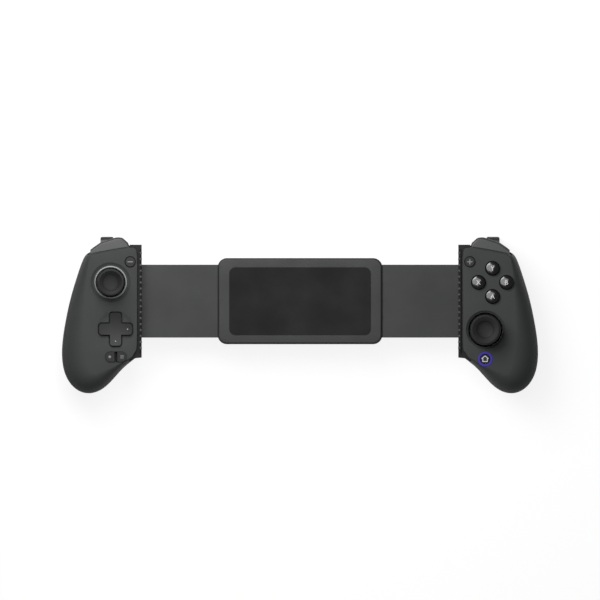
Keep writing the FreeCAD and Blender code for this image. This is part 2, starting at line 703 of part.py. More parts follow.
def stick_place(side):
    if side == "left":
        return x_of(side, S.left_stick_out), S.left_stick_up
    return x_of(side, S.right_stick_out), S.right_stick_up


def pill(name, side, grow, zs):
    """A short bar with round ends at the place of the two small buttons."""
    reach = S.pill_reach - S.pill_radius
    radius = S.pill_radius + grow
    middle = x_of(side, S.pill_out)
    bar = box(f"{name}_bar", (middle - reach, middle + reach), (S.pill_up - radius, S.pill_up + radius), zs)
    ends = [
        rod(f"{name}_end_{mark}", radius, middle + way * reach, S.pill_up, zs) for mark,
        way in (("a", -1), ("b", 1))
    ]
    return fuse(name, [bar] + ends)


def cross_outline(x, y, reach, half_arm, corner, inner_corner):
    """A cross with round ends and round inner corners, one quarter after another."""
    share = 1 - math.sqrt(0.5)
    quarter = [
        (reach, half_arm - corner), (reach - corner * share, half_arm - corner * share, "through"),
        (reach - corner, half_arm), (half_arm + inner_corner, half_arm),
        (half_arm + inner_corner * share, half_arm + inner_corner * share, "through"),
        (half_arm, half_arm + inner_corner),
        (half_arm, reach - corner), (half_arm - corner * share, reach - corner * share, "through"),
        (half_arm - corner, reach),
    ]
    outline = []
    for cosine, sine in ((1, 0), (0, 1), (-1, 0), (0, -1)):
        for along, across, *mark in quarter:
            outline.append((x + along * cosine - across * sine, y + along * sine + across * cosine, *mark))
    return outline


def cross(name, x, y, reach, half_arm, corner, inner_corner, zs):
    body = doc.addObject("PartDesign::Body", name)
    pad(body, f"{name}_block", cross_outline(x, y, reach, half_arm, corner, inner_corner), zs)
    return body


def action_places():
    """The four action buttons round their middle."""
    middle = action_out
    return {
        "button_y": (middle, S.action_up + S.action_step), "button_x": (middle - S.action_step, S.action_up),
        "button_b": (middle + S.action_step, S.action_up), "button_a": (middle, S.action_up - S.action_step),
    }


def face_holes(side):
    """Everything that the faceplate is cut for, as upright tools."""
    through = (seam_height - 2, S.face_height + 2)
    name = f"{side}_hole"
    x, y = stick_place(side)
    tools = [rod(f"{name}_small", S.small_radius + S.button_gap, x_of(side, S.small_out), small_up, through)]
    dish = (S.face_height - S.dish_depth, S.face_height + 0.01)
    recess = (seam_height - 2, flange_top + S.flange_gap)
    if side == "left":
        tools.append(rod(f"{name}_stick", S.ring_radius + 0.05, x, y, through))
        tools.append(cone(f"{name}_dish", S.ring_radius + 0.6, S.dish_radius, x, y, dish))
        pad_x = x_of(side, S.pad_out)
        tools.append(cross(f"{name}_pad", pad_x, S.pad_up, S.pad_reach + S.pad_gap, S.pad_arm / 2 + S.pad_gap,
                           S.pad_corner + S.pad_gap, S.pad_inner_corner, through))
        tools.append(
            cone(f"{name}_pad_dish", S.pad_dish_radius - 3.0, S.pad_dish_radius, pad_x, S.pad_up, dish)
        )
        tools.append(pill(f"{name}_pill", side, S.button_gap, through))
        tools.append(pill(f"{name}_pill_recess", side, S.pill_lip + S.flange_gap, recess))
    else:
        tools.append(rod(f"{name}_stick", S.right_hole_radius, x, y, through))
        tools.append(cone(f"{name}_dish", S.right_hole_radius + 0.2, S.right_dish_radius, x, y, dish))
        for button, (out, up) in action_places().items():
            tools.append(
                rod(f"{name}_{button}", S.action_radius + S.button_gap, x_of(side, out), up, through)
            )
            flange = S.action_radius + S.flange_lip + S.flange_gap
            tools.append(rod(f"{name}_{button}_recess", flange, x_of(side, out), up, recess))
        home_x = x_of(side, S.home_out)
        tools.append(rod(f"{name}_home", S.light_radius + S.screw_play, home_x, S.home_up, through))
        light_recess = (seam_height - 2, face_roof + S.fit_gap)
        tools.append(
            rod(
                f"{name}_home_recess", S.light_radius + S.light_flange + S.fit_gap, home_x, S.home_up,
                light_recess
            )
        )
    return tools


def drawn_plan(side, points):
    """Drawn (out, up) points on one side, for an upright block; a third word marks a point on an arc."""
    plan = []
    for out, up, *mark in points:
        out, up = on_grip(out, up)
        plan.append((float(x_of(side, out)), float(up), *mark))
    return plan


def bumper_plan(side, grow):
    """The bumper's plan, from its inner end round the finger's edge to the outer end."""
    low = 39.8 - grow
    return drawn_plan(side, [
        (8.4 - grow, low), (8.4 - grow, 45.4), (9.0 - grow, 47.0 + grow), (12.4, 50.0 + grow),
        (15.2, 50.5 + grow, "through"),
        (19.0, 49.8 + grow), (26.9, 47.2 + grow), (31.6 + grow, 44.0 + grow), (33.6 + grow, 42.4),
        (33.6 + grow, low),
    ])


def jaw_corners(side, grow):
    """Plans of the chassis's black corners beside the faceplate, at the top and at the bottom of the jaw."""
    top, bottom = float(jaw_top), float(jaw_bottom)
    lip, reveal = float(S.jaw_lip), float(S.jaw_reveal)
    level, radius = top - float(S.corner_drop), float(S.corner_round)
    far = float(S.corner_reach) - 2 * grow
    middle = radius * (1 - math.sqrt(0.5))
    upper = [
        (lip - grow, level - radius), (lip - grow, top + grow), (far + grow, top + grow),
        (far + grow, level - grow),
        (reveal + radius, level - grow), (reveal + middle + grow, level - middle - grow, "through"),
        (reveal + grow, level - radius),
    ]
    lower = [
        (lip - grow, bottom + 6.7), (reveal + grow, bottom + 6.7),
        (5.5 + grow, bottom + 2.0 + grow, "through"),
        (7.9 + grow, bottom - 2.6 - 2 * grow), (6.5, bottom - 1.3 - 2 * grow), (4.1, bottom - 0.4 - grow),
        (lip - grow, bottom - grow),
    ]
    return [[(float(x_of(side, out)), up, *mark) for out, up, *mark in corner] for corner in (upper, lower)]


def trigger_xs(side, grow):
    return xs_of(side, S.trigger_near - grow, S.trigger_far + grow)


def back_button_column(name, side, grow, zs):
    """An upright prism with round ends along the handle."""
    x = x_of(side, S.back_button_out)
    radius = S.back_button_half + grow
    reach = S.back_button_reach - S.back_button_half
    y = S.back_button_up
    bar = box(f"{name}_bar", (x - radius, x + radius), (y - reach, y + reach), zs)
    ends = [rod(f"{name}_end_{mark}", radius, x, y + way * reach, zs) for mark, way in (("a", -1), ("b", 1))]
    return fuse(name, [bar] + ends)


MAGNETS = [on_grip(*spot) for spot in ((30.0, 33.2), (31.0, 3.0), (30.5, -27.0))]
# place and the height at which the head sits, on the back
SCREWS = [
    (*on_grip(out, up), seat) for out, up,
    seat in ((39.5, 16.0, 15.0), (43.0, -26.0, 11.0), (10.0, -17.0, 17.5))
]


def port_prism(name, grow, length, back):
    """A rounded bar along the charging socket's axis."""
    length, back = float(length), float(back)
    width, height = S.port_width + 2 * grow, S.port_height + 2 * grow
    middle = height / 2
    reach = width / 2 - middle
    shape = Part.makeBox(reach * 2, length, height, Vector(-reach, -length + back, -middle))
    for way in (-1, 1):
        shape = shape.fuse(Part.makeCylinder(middle, length, Vector(way * reach, back, 0), Vector(0, -1, 0)))
    shape = shape.removeSplitter()
    height_up = board_top + S.port_height / 2
    shape.Placement = Placement(
        Vector(x_of("right", S.port_out), port_up, height_up), Rotation(Vector(0, 0, 1), -S.port_turn)
    )
    return made(name, shape)


def shells(side):
    """Faceplate, back shell, chassis and board, all cut from one sculpted form."""
    outer = made(f"{side}_outer_form", grip_form(side, 0.0))
    inner = made(f"{side}_inner_form", grip_form(side, float(S.shell_wall)))
    seated = made(f"{side}_seated_form", grip_form(side, float(S.shell_wall + S.inner_gap)))
    board_form = made(f"{side}_board_form", grip_form(side, float(S.shell_wall + S.board_margin)))
    all_x = xs_of(side, -BEYOND, S.grip_width + BEYOND)
    all_y = (-S.grip_bottom - BEYOND, S.grip_top + BEYOND)
    jaw_outer = S.rubber_thick + S.jaw_wall
    past_jaw = xs_of(side, -BEYOND, jaw_outer + S.fit_gap)
    window_zs = (bumper_back - S.bumper_gap, bumper_front + S.bumper_gap)
    window = made(
        f"{side}_bumper_window", upright(bumper_plan(side, float(S.bumper_gap + S.bumper_travel)), window_zs)
    )
    corner_zs = (jaw_back - S.fit_gap, S.face_height + BEYOND)
    corner_gaps = [
        made(f"{side}_corner_gap_{spot}", upright(plan, corner_zs))
        for spot, plan in enumerate(jaw_corners(side, float(S.fit_gap)))
    ]

    front_slab = box(f"{side}_front_slab", all_x, all_y, (seam_height + S.seam_gap, S.face_height + BEYOND))
    front = common(f"{side}_front_form", outer, front_slab)
    over_jaw = box(f"{side}_over_jaw", past_jaw, all_y, (seam_height - BEYOND, jaw_front + S.fit_gap))
    keep(
        f"{side}_faceplate",
        cut(f"{side}_faceplate", front, [inner, over_jaw, window] + corner_gaps + face_holes(side))
    )

    back_slab = box(f"{side}_back_slab", all_x, all_y, (-BEYOND, seam_height))
    back = common(f"{side}_back_form", outer, back_slab)
    hollow = cut(f"{side}_back_hollow", back, [inner])
    well_xs = trigger_xs(side, S.trigger_gap + S.well_wall)
    well = box(
        f"{side}_well", well_xs, (well_floor - S.well_wall, S.grip_top + BEYOND), (-BEYOND, plate_bottom)
    )
    cradle = rod(
        f"{side}_motor_cradle", S.motor_radius + S.cradle_wall, x_of(side, motor_out), motor_up,
        (-BEYOND, cradle_top)
    )
    bosses = [
        rod(f"{side}_boss_{spot}", S.screw_boss, x_of(side, out), up, (-BEYOND, plate_bottom))
        for spot, (out, up, seat) in enumerate(SCREWS)
    ]
    inside = common(f"{side}_back_inside", outer, fuse(f"{side}_back_ribs", [well, cradle] + bosses))
    walls = fuse(f"{side}_back_walls", [hollow, inside])
    trigger_hole = box(
        f"{side}_trigger_hole", trigger_xs(side, S.trigger_gap), (well_floor, S.grip_top + BEYOND),
        (-BEYOND, well_roof)
    )
    socket_wide = S.socket_wall + S.fit_gap
    past_well = S.trigger_gap + S.well_wall + 1
    openings = [
        trigger_hole,
        window,
        box(f"{side}_jaw_relief", past_jaw, all_y, (jaw_back - S.fit_gap, seam_height + BEYOND)),
        box(f"{side}_socket_window", xs_of(side, -BEYOND, S.root_length + socket_wide),
            (S.bridge_middle - arm_half - socket_wide, S.bridge_middle + arm_half + socket_wide),
            (low_layer[0] - socket_wide, seam_height + BEYOND)),
        rod(
            f"{side}_motor_bore", S.motor_radius + S.screw_play, x_of(side, motor_out), motor_up,
            (S.motor_bottom, plate_bottom)
        ),
        rod(
            f"{side}_weight_room", S.weight_radius + S.weight_play, x_of(side, motor_out), motor_up,
            (S.motor_top, plate_bottom)
        ),
        back_button_column(
            f"{side}_back_button_hole", side, S.back_button_play, (-BEYOND, plate_bottom - S.shell_wall)
        ),
        level_rod(f"{side}_trunnion_hole", S.trunnion_radius + S.screw_play,
                  (trigger_xs(side, past_well)[0], trigger_up, S.trigger_height),
                  S.trigger_far - S.trigger_near + 2 * past_well, "X"),
    ] + corner_gaps
    screws = []
    for spot, (out, up, seat) in enumerate(SCREWS):
        x = x_of(side, out)
        openings.append(rod(f"{side}_sink_{spot}", S.screw_head + S.fit_gap, x, up, (-BEYOND, seat)))
        openings.append(
            rod(f"{side}_clear_{spot}", S.screw_radius + S.screw_play, x, up, (-BEYOND, plate_bottom + 1))
        )
        screws.append(rod(f"{side}_head_{spot}", S.screw_head, x, up, (seat - S.head_thick, seat)))
        screws.append(rod(f"{side}_shank_{spot}", S.screw_radius, x, up, (seat, plate_top - S.inner_gap)))
    if side == "right":
        openings.append(port_prism("port_slot", float(S.port_play), S.port_depth * 3, S.port_back))
    keep(f"{side}_back_shell", cut(f"{side}_back_shell", walls, openings))
    keep(f"{side}_shell_screws", fuse(f"{side}_shell_screws", screws))

    # the chassis: a mid plate, the jaw's wall with its corners, the socket of the arm, the magnets' posts
    plate_slab = box(f"{side}_plate_slab", all_x, all_y, (plate_bottom, plate_top))
    plate = common(f"{side}_plate", seated, plate_slab)
    jaw_xs = xs_of(side, S.rubber_thick, jaw_outer)
    lip_xs = xs_of(side, S.jaw_lip, jaw_outer)
    rubber_half = S.rib_pitch * S.rib_count / 2 + S.rubber_margin
    rubber_ys = (S.rib_middle - rubber_half, S.rib_middle + rubber_half)
    jaw_zs = (jaw_back, jaw_front)
    socket_far = S.root_length + S.socket_wall
    socket_ys = (S.bridge_middle - arm_half - S.socket_wall, S.bridge_middle + arm_half + S.socket_wall)
    socket_top = high_layer[1] + S.socket_wall + S.socket_lid
    solids = [
        plate,
        box(f"{side}_jaw_wall", jaw_xs, (jaw_bottom, jaw_top), jaw_zs),
        box(f"{side}_jaw_upper_lip", lip_xs, (rubber_ys[1] + S.fit_gap, jaw_top), jaw_zs),
        box(f"{side}_jaw_lower_lip", lip_xs, (jaw_bottom, rubber_ys[0] - S.fit_gap), jaw_zs),
        box(f"{side}_rubber_ledge", lip_xs, rubber_ys, (jaw_back, rubber_back)),
        box(
            f"{side}_socket", xs_of(side, S.rubber_thick, socket_far), socket_ys,
            (low_layer[0] - S.socket_wall, socket_top)
        ),
    ]
    for spot, plan in enumerate(jaw_corners(side, 0.0)):
        solids.append(made(f"{side}_corner_{spot}", upright(plan, jaw_zs)))
    magnets = []
    magnet_top = face_roof - S.magnet_gap
    post_top = magnet_top - S.magnet_thick + S.magnet_seat
    for spot, (out, up) in enumerate(MAGNETS):
        x = x_of(side, out)
        solids.append(
            rod(
                f"{side}_magnet_post_{spot}", S.magnet_post, x, up,
                (plate_bottom + 1, post_top)
            )
        )
        magnets.append(
            rod(f"{side}_magnet_{spot}", S.magnet_radius, x, up, (magnet_top - S.magnet_thick, magnet_top))
        )
    socket_bore = box(
        f"{side}_socket_bore", xs_of(side, -BEYOND, S.root_length),
        (S.bridge_middle - arm_half, S.bridge_middle + arm_half), (low_layer[0], high_layer[1]),
    )
    room_xs = xs_of(side, S.bumper_near - S.bumper_gap, S.bumper_far + S.bumper_gap + S.bumper_travel + 1)
    room_ys = (bumper_inner - S.bumper_gap - S.bumper_travel, S.grip_top + BEYOND)
    cuts = [
        socket_bore,
        box(f"{side}_bumper_room", room_xs, room_ys, (plate_bottom - 1, S.face_height)),
        box(f"{side}_plate_end", xs_of(side, -BEYOND, S.rubber_thick), all_y, (low_layer[0], jaw_back)),
        box(f"{side}_rubber_seat", xs_of(side, -BEYOND, S.rubber_thick),
            (rubber_ys[0] - S.fit_gap, rubber_ys[1] + S.fit_gap), (rubber_back, S.face_height)),
    ]
    for spot, (out, up) in enumerate(MAGNETS):
        seat = (magnet_top - S.magnet_thick, magnet_top + 1)
        cuts.append(rod(f"{side}_magnet_seat_{spot}", S.magnet_radius, x_of(side, out), up, seat))
    for spot, (out, up, seat) in enumerate(SCREWS):
        cuts.append(
            rod(
                f"{side}_pilot_{spot}", S.screw_radius + S.screw_play, x_of(side, out), up,
                (plate_bottom - 1, plate_top + 1)
            )
        )
    keep(f"{side}_chassis", cut(f"{side}_chassis", fuse(f"{side}_chassis_solids", solids), cuts))
    keep(f"{side}_faceplate_magnets", fuse(f"{side}_faceplate_magnets", magnets))

    # the circuit board on the plate
    board_slab = box(f"{side}_board_slab", all_x, all_y, (plate_top, board_top))
    board = common(f"{side}_board_plan", board_form, board_slab)
    over_board = (plate_bottom, S.face_height)
    gaps = [
        box(f"{side}_board_socket_gap", xs_of(side, -BEYOND, socket_far + S.inner_gap),
            (socket_ys[0] - S.inner_gap, S.grip_top + BEYOND), over_board),
        box(
            f"{side}_board_bumper_gap", xs_of(side, -BEYOND, S.grip_width),
            (room_ys[0] - S.bumper_edge, S.grip_top + BEYOND), over_board
        ),
    ]
    for spot, (out, up) in enumerate(MAGNETS):
        gaps.append(
            rod(f"{side}_board_post_gap_{spot}", S.magnet_post + S.inner_gap, x_of(side, out), up, over_board)
        )
    keep(f"{side}_circuit_board", cut(f"{side}_circuit_board", board, gaps))

    # the ribbed rubber that holds the device's edge
    strip = box(
        f"{side}_rubber_strip", xs_of(side, S.rib_radius, S.rubber_thick), rubber_ys,
        (rubber_back, rubber_front)
    )
    ribs = []
    for spot in range(int(S.rib_count)):
        up = S.rib_middle + S.rib_pitch * (spot - (S.rib_count - 1) / 2)
        ribs.append(
            rod(f"{side}_rib_{spot}", S.rib_radius, x_of(side, S.rib_radius), up, (rubber_back, rubber_front))
        )
    keep(f"{side}_jaw_pad", fuse(f"{side}_jaw_pad", [strip] + ribs))


def stick(side):
    """A thumbstick: case, gimbal, stem and cap, all about one pivot."""
    x, y = stick_place(side)
    pivot = stick_pivot
    half = S.stick_case / 2
    bore = S.stick_bore / 2
    case = box(f"{side}_case_block", (x - half, x + half), (y - half, y + half), (board_top, case_top))
    room = box(
        f"{side}_case_room", (x - bore, x + bore), (y - bore, y + bore),
        (board_top + S.case_floor, case_top + 1)
    )
    bearing = level_rod(
        f"{side}_case_bearing", S.gimbal_axle + S.axle_play, (x - half - 1, y, pivot), S.stick_case + 2, "X"
    )
    keep(f"{side}_stick_base", cut(f"{side}_stick_base", case, [room, bearing]))

    wide, inside, thick = S.gimbal_half, S.gimbal_bore, S.gimbal_thick / 2
    ring = box(
        f"{side}_gimbal_block", (x - wide, x + wide), (y - wide, y + wide), (pivot - thick, pivot + thick)
    )
    axle_start = (x - half + S.case_wall_play, y, pivot)
    axle = level_rod(
        f"{side}_gimbal_axle", S.gimbal_axle, axle_start, S.stick_case - 2 * S.case_wall_play, "X"
    )
    opening = box(
        f"{side}_gimbal_opening", (x - inside, x + inside), (y - inside, y + inside),
        (pivot - wide, pivot + wide)
    )
    stem_bearing = level_rod(
        f"{side}_gimbal_bearing", S.stem_axle + S.axle_play, (x, y - wide - 1, pivot), 2 * wide + 2, "Y"
    )
    gimbal = cut(f"{side}_stick_gimbal", fuse(f"{side}_gimbal_solid", [ring, axle]), [opening, stem_bearing])
    keep(f"{side}_stick_gimbal", gimbal)

    stem_top = cap_top - S.stem_drop
    stem_reach = wide - S.case_wall_play
    post = rod(f"{side}_stem_post", S.stem_radius, x, y, (pivot - S.stem_foot, stem_top))
    stem_axle = level_rod(f"{side}_stem_axle", S.stem_axle, (x, y - stem_reach, pivot), 2 * stem_reach, "Y")
    keep(f"{side}_stick_stem", fuse(f"{side}_stick_stem", [post, stem_axle]))

    # the cap's half outline: socket, dished top, rim, neck and the round skirt about the pivot
    cap = S.left_cap_radius if side == "left" else S.right_cap_radius
    top = cap_top
    hole = S.stem_radius + S.axle_play
    skirt = S.skirt_radius
    roof = stem_top + S.click_travel + S.inner_gap
    outline = [
        (hole, pivot + skirt * 0.8), (hole, roof), (0, roof),
        (0, top - 2.2), (cap * 0.33, top - 2.1, "through"), (cap * 0.64, top - 1.5),
        (cap * 0.84, top, "through"), (cap, top - 1.6), (cap - 0.1, top - 3.0),
        (cap * 0.75, top - 5.0), (S.neck_radius, top - 7.5), (S.neck_radius, pivot + skirt * 0.885),
        (skirt * 0.6345, pivot + skirt * 0.7729, "through"), (skirt * 0.78, pivot + skirt * 0.6258),
        (skirt * 0.70, pivot + skirt * 0.565), (skirt * 0.5425, pivot + skirt * 0.7177, "through"),
        (skirt * 0.36, pivot + skirt * 0.8248),
    ]
    keep(f"{side}_stick_cap", turned(f"{side}_stick_cap", x, y, outline))
    if side == "left":
        ring_bottom = face_roof - S.ring_foot
        edge = S.ring_edge
        keep("left_stick_ring", turned("left_stick_ring", x, y, [
            (S.ring_bore, ring_bottom), (S.ring_radius, ring_bottom), (S.ring_radius, ring_top - edge),
            (S.ring_radius - edge, ring_top), (S.ring_bore + edge, ring_top), (S.ring_bore, ring_top - edge),
        ]))


def round_button(name, x, y, radius, top):
    """A plunger with a flange that holds it behind the faceplate and a slightly domed top."""
    foot = radius - S.button_step
    flange = radius + S.flange_lip
    low = flange_top - S.flange_thick
    crown = top + S.dome_height
    plunger = turned(f"{name}_plunger", x, y, [
        (0, button_foot), (foot, button_foot), (foot, low), (flange, low), (flange, flange_top),
        (radius, flange_top), (radius, top - S.button_edge), (radius - S.button_edge, crown), (0, crown),
    ])
    return common(name, plunger, ball(f"{name}_dome", S.dome_radius, x, y, crown - S.dome_radius))


def plain_button(name, x, y, radius, foot, top):
    """A straight round plunger with a broken edge."""
    return turned(name, x, y, [
        (0, foot), (radius, foot), (radius, top - S.button_edge), (radius - S.button_edge, top), (0, top),
    ])


def face_controls():
    """The buttons of both faces."""
    for button, (out, up) in action_places().items():
        keep(button, round_button(button, x_of("right", out), up, S.action_radius, action_top))
    for name, side in (("minus_button", "left"), ("plus_button", "right")):
        x = x_of(side, S.small_out)
        keep(name, plain_button(name, x, small_up, S.small_radius, button_foot - S.flange_lip, small_top))
    home_x = x_of("right", S.home_out)
    keep("home_button", plain_button("home_button", home_x, S.home_up, S.home_radius, button_foot, home_top))
    light_foot = face_roof - S.light_depth
    flange_foot = face_roof - S.flange_thick
    near, far, lip = S.home_radius + S.light_gap, S.light_radius, S.light_radius + S.light_flange
    low, high = S.face_height + S.fit_gap, S.face_height + S.fit_gap + S.light_gap
    keep("home_light_ring", turned("home_light_ring", home_x, S.home_up, [
        (near, light_foot), (far, light_foot), (far, flange_foot), (lip, flange_foot), (lip, face_roof),
        (far, face_roof),
        (far, low), (far - S.light_gap, high), (near + S.light_gap, high), (near, low),
    ]))
    middle = x_of("left", S.pill_out)
    flange_zs = (flange_top - S.flange_thick, flange_top)
    for name, way in (("capture_button", -1), ("menu_button", 1)):
        stem = pill(f"{name}_pill", "left", 0.0, (button_foot, pill_top))
        rim = pill(f"{name}_rim", "left", S.pill_lip, flange_zs)
        near, far = middle + way * S.pill_split / 2, middle + way * 2 * BEYOND
        half_xs = (near, far) if way > 0 else (far, near)
        half = box(
            f"{name}_half", half_xs, (S.pill_up - BEYOND, S.pill_up + BEYOND),
            (button_foot - BEYOND, pill_top + BEYOND)
        )
        keep(name, common(name, fuse(f"{name}_solid", [stem, rim]), half))


def direction_pad():
    """A one-piece cross on a disc, on the pins of a rocker that rolls on the membrane's stud."""
    x, y = x_of("left", S.pad_out), S.pad_up
    disc_foot = pad_pivot + S.pad_disc_rise
    hub_radius = S.hub_bore + S.hub_wall
    arms = cross(
        "dpad_arms", x, y, S.pad_reach, S.pad_arm / 2, S.pad_corner, S.pad_inner_corner, (disc_foot, pad_top)
    )
    disc = rod("dpad_disc", S.pad_disc, x, y, (disc_foot, disc_foot + S.pad_disc_thick))
    hub = rod("dpad_hub", hub_radius, x, y, (pad_pivot - S.hub_drop, disc_foot + S.fit_gap))
    hub_bore = rod(
        "dpad_hub_bore", S.hub_bore, x, y,
        (pad_pivot - 2 * S.hub_drop, pad_pivot + S.rocker_radius + S.fit_gap)
    )
    bearing = level_rod(
        "dpad_bearing", S.rocker_axle + S.axle_play, (x, y - hub_radius - 1, pad_pivot), 2 * hub_radius + 2,
        "Y"
    )
    hollow = ball("dpad_hollow", S.pad_dish, x, y, pad_top - S.pad_dish_depth + S.pad_dish)
    keep("dpad", cut("dpad", fuse("dpad_solid", [arms, disc, hub]), [hub_bore, bearing, hollow]))
    barrel = level_rod(
        "dpad_barrel", S.rocker_radius, (x - S.rocker_length / 2, y, pad_pivot), S.rocker_length, "X"
    )
    pins = level_rod("dpad_pins", S.rocker_axle, (x, y - S.rocker_reach, pad_pivot), 2 * S.rocker_reach, "Y")
    keep("dpad_rocker", fuse("dpad_rocker", [barrel, pins]))
    sheet_top = board_top + S.sheet_thick
    pieces = [
        rod("dpad_sheet", S.sheet_radius, x, y, (board_top, sheet_top)),
        rod("dpad_stud", S.rocker_radius, x, y, (board_top, pad_pivot - S.rocker_radius - S.fit_gap)),
    ]
    step = S.dome_step
    for spot, (dx, dy) in enumerate(((1, 0), (-1, 0), (0, 1), (0, -1))):
        pieces.append(rubber_dome(f"dpad_dome_{spot}", x + step * dx, y + step * dy))
    keep("dpad_membrane", fuse("dpad_membrane", pieces))


def rubber_dome(name, x, y):
    """One of the hollow-looking cones that a key presses on."""
    return cone(name, S.dome_foot, S.dome_tip, x, y, (board_top + S.sheet_thick / 2, board_top + S.dome_rise))


def action_membrane():
    """One rubber sheet with a dome under each action button."""
    x, y = x_of("right", action_out), S.action_up
    reach = S.action_step + S.dome_foot
    sheet_zs = (board_top, board_top + S.sheet_thick)
    pieces = [cross("action_sheet", x, y, reach, S.dome_foot, S.dome_tip, S.dome_tip, sheet_zs)]
    for button, (out, up) in action_places().items():
        pieces.append(rubber_dome(f"{button}_rubber", x_of("right", out), up))
    keep("face_button_membrane", fuse("face_button_membrane", pieces))


def bumper(side):
    """The key over the trigger, with its finger edges rounded."""
    solid = upright(bumper_plan(side, 0.0), (float(bumper_back), float(bumper_front)))
    outer_edges = []
    for edge in solid.Edges:
        if edge.BoundBox.ZLength < 1e-6 and edge.BoundBox.YMin > float(bumper_inner + S.bumper_edge):
            outer_edges.append(edge)
    keep(f"{side}_bumper", made(f"{side}_bumper", solid.makeFillet(float(S.bumper_edge), outer_edges)))


def trigger(side):
    """The trigger: a hooked blade on two trunnions, rounded in plan."""
    up, height, hub = float(trigger_up), float(S.trigger_height), float(S.hub_radius)
    blade = lying_loft([
        (up, height + hub), (up + 8.0, height + 3.8), (up + 11.9, height + 3.0, "through"),
        (up + 12.7, height - 0.5),
        (up + 10.7, height - 9.0, "through"), (up + 12.5, height - 17.2),
        (up + 12.2, height - 19.4, "through"), (up + 10.6, height - 20.0), (up + 9.2, height - 20.0),
        (up + 4.2, height - 12.0), (up - hub * 0.7, height - hub * 0.714), (up - hub, height, "through"),
    ], [float(x) for x in trigger_xs(side, 0.0)])
    near, far, tip = float(S.trigger_near), float(S.trigger_far), up + 12.9
    plan = [
        (near, up - 8.0), (near, up + 6.0), (near + 1.3, up + 8.6, "through"), (near + 4.6, up + 11.2),
        (near + 6.2, tip),
        (far - 1.2, tip), (far - 0.3, up + 12.4, "through"), (far, up + 11.4), (far, up - 8.0),
    ]
    marks = [(float(x_of(side, spot[0])), *spot[1:]) for spot in plan]
    blade = blade.common(upright(marks, (-BEYOND, height + BEYOND)))
    coil_xs = xs_of(side, S.trigger_far - S.coil_width - S.inner_gap, S.trigger_far + 1)
    centre = Vector(coil_xs[0], up, height)
    notch = Part.makeCylinder(S.coil_radius + S.coil_room, coil_xs[1] - coil_xs[0], centre, Vector(1, 0, 0))
    pin_xs = trigger_xs(side, S.trigger_gap + S.pin_reach)
    trunnions = Part.makeCylinder(
        S.trunnion_radius, pin_xs[1] - pin_xs[0], Vector(pin_xs[0], up, height), Vector(1, 0, 0)
    )
    keep(f"{side}_trigger", made(f"{side}_trigger", blade.cut(notch).fuse(trunnions)))
    ring_xs = xs_of(side, S.trigger_far - S.coil_width, S.trigger_far)
    coil = level_rod(
        f"{side}_coil", S.coil_radius, (ring_xs[0], trigger_up, S.trigger_height), S.coil_width, "X"
    )
    bore = level_rod(
        f"{side}_coil_bore", S.trunnion_radius + S.port_play, (ring_xs[0] - 1, trigger_up, S.trigger_height),
        S.coil_width + 2, "X"
    )
    keep(f"{side}_trigger_spring", cut(f"{side}_trigger_spring", coil, [bore]))


def back_button(side):
    """A button under the ring finger, its face a patch of the handle's own form."""
    proud = made(f"{side}_proud_form", grip_form(side, -float(S.back_button_proud)))
    deep = made(f"{side}_deep_form", grip_form(side, float(S.shell_wall + S.back_button_flesh)))
    column = back_button_column(f"{side}_back_button_column", side, 0.0, (-BEYOND, girth_height - BEYOND / 2))
    patch = common(f"{side}_back_button_patch", column, proud)
    skin = cut(f"{side}_back_button_skin", patch, [deep])
    stub_zs = (0, battery_bottom - S.fit_gap * 11)
    stub = rod(
        f"{side}_back_button_stub", S.back_button_stem, x_of(side, S.back_button_out), S.back_button_up,
        stub_zs
    )
    stem = common(f"{side}_back_button_stem", stub, proud)
    keep(f"{side}_back_button", fuse(f"{side}_back_button", [skin, stem]))


def rumble(side):
    """A motor in the handle with a half-round weight on its shaft."""
    x, y = x_of(side, motor_out), motor_up
    keep(
        f"{side}_rumble_motor",
        rod(f"{side}_rumble_motor", S.motor_radius, x, y, (S.motor_bottom, S.motor_top))
    )
    disc = rod(f"{side}_weight_disc", S.weight_radius, x, y, (S.motor_top + S.weight_gap, weight_top))
    wide = S.weight_radius + 1
    far = box(
        f"{side}_weight_gap", (x - wide, x + wide), (y + 2 * S.shaft_radius, y + wide),
        (S.motor_top, weight_top + 1)
    )
    shaft = rod(f"{side}_weight_shaft", S.shaft_radius, x, y, (S.motor_top, weight_top))
    keep(
        f"{side}_rumble_weight",
        fuse(f"{side}_rumble_weight", [cut(f"{side}_weight_half", disc, [far]), shaft])
    )


def battery():
    """The flat cell behind the left board."""
    xs = xs_of("left", S.battery_out, S.battery_out + S.battery_width)
    keep(
        "battery",
        box("battery", xs, (S.battery_up, S.battery_up + S.battery_length), (battery_bottom, plate_bottom))
    )


def charging_port():
    """The charging socket: a rounded tube with a tongue, its mouth in the handle's lower inner edge."""
    depth = float(S.port_depth)
    shell = port_prism("port_shell", 0.0, depth, S.port_back)
    bore = port_prism("port_bore", -float(S.port_wall), depth, S.port_back - 1)
    tongue = port_prism("port_tongue_form", -1.2, depth - 1, S.port_back - 0.6)
    keep("usb_c_socket", fuse("usb_c_socket", [cut("port_hollow", shell, [bore]), tongue]))


bridge_covers()
pinion()
bridge_springs()
flex_cable()
for side in ("left", "right"):
    arm(side)
    shells(side)
    stick(side)
    bumper(side)
    trigger(side)
    back_button(side)
    rumble(side)
direction_pad()
face_controls()
action_membrane()
battery()
charging_port()

doc.recompute()
faults = [thing.Name for thing in doc.Objects if {"Invalid", "Error"} & set(thing.State)]
faults += [name for name, thing in nodes if thing.Shape.isNull() or not thing.Shape.isValid()]
if faults:
    raise SystemExit(f"failed objects: {faults}")

os.makedirs("parts", exist_ok=True)
for name, thing in nodes:
    thing.Shape.exportStep(f"parts/{name}.step")
    print(name, len(thing.Shape.Solids), round(thing.Shape.Volume, 1))
print(len(nodes), "nodes")
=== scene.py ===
import json
import math
import bmesh
import bpy
from mathutils import Matrix, Vector


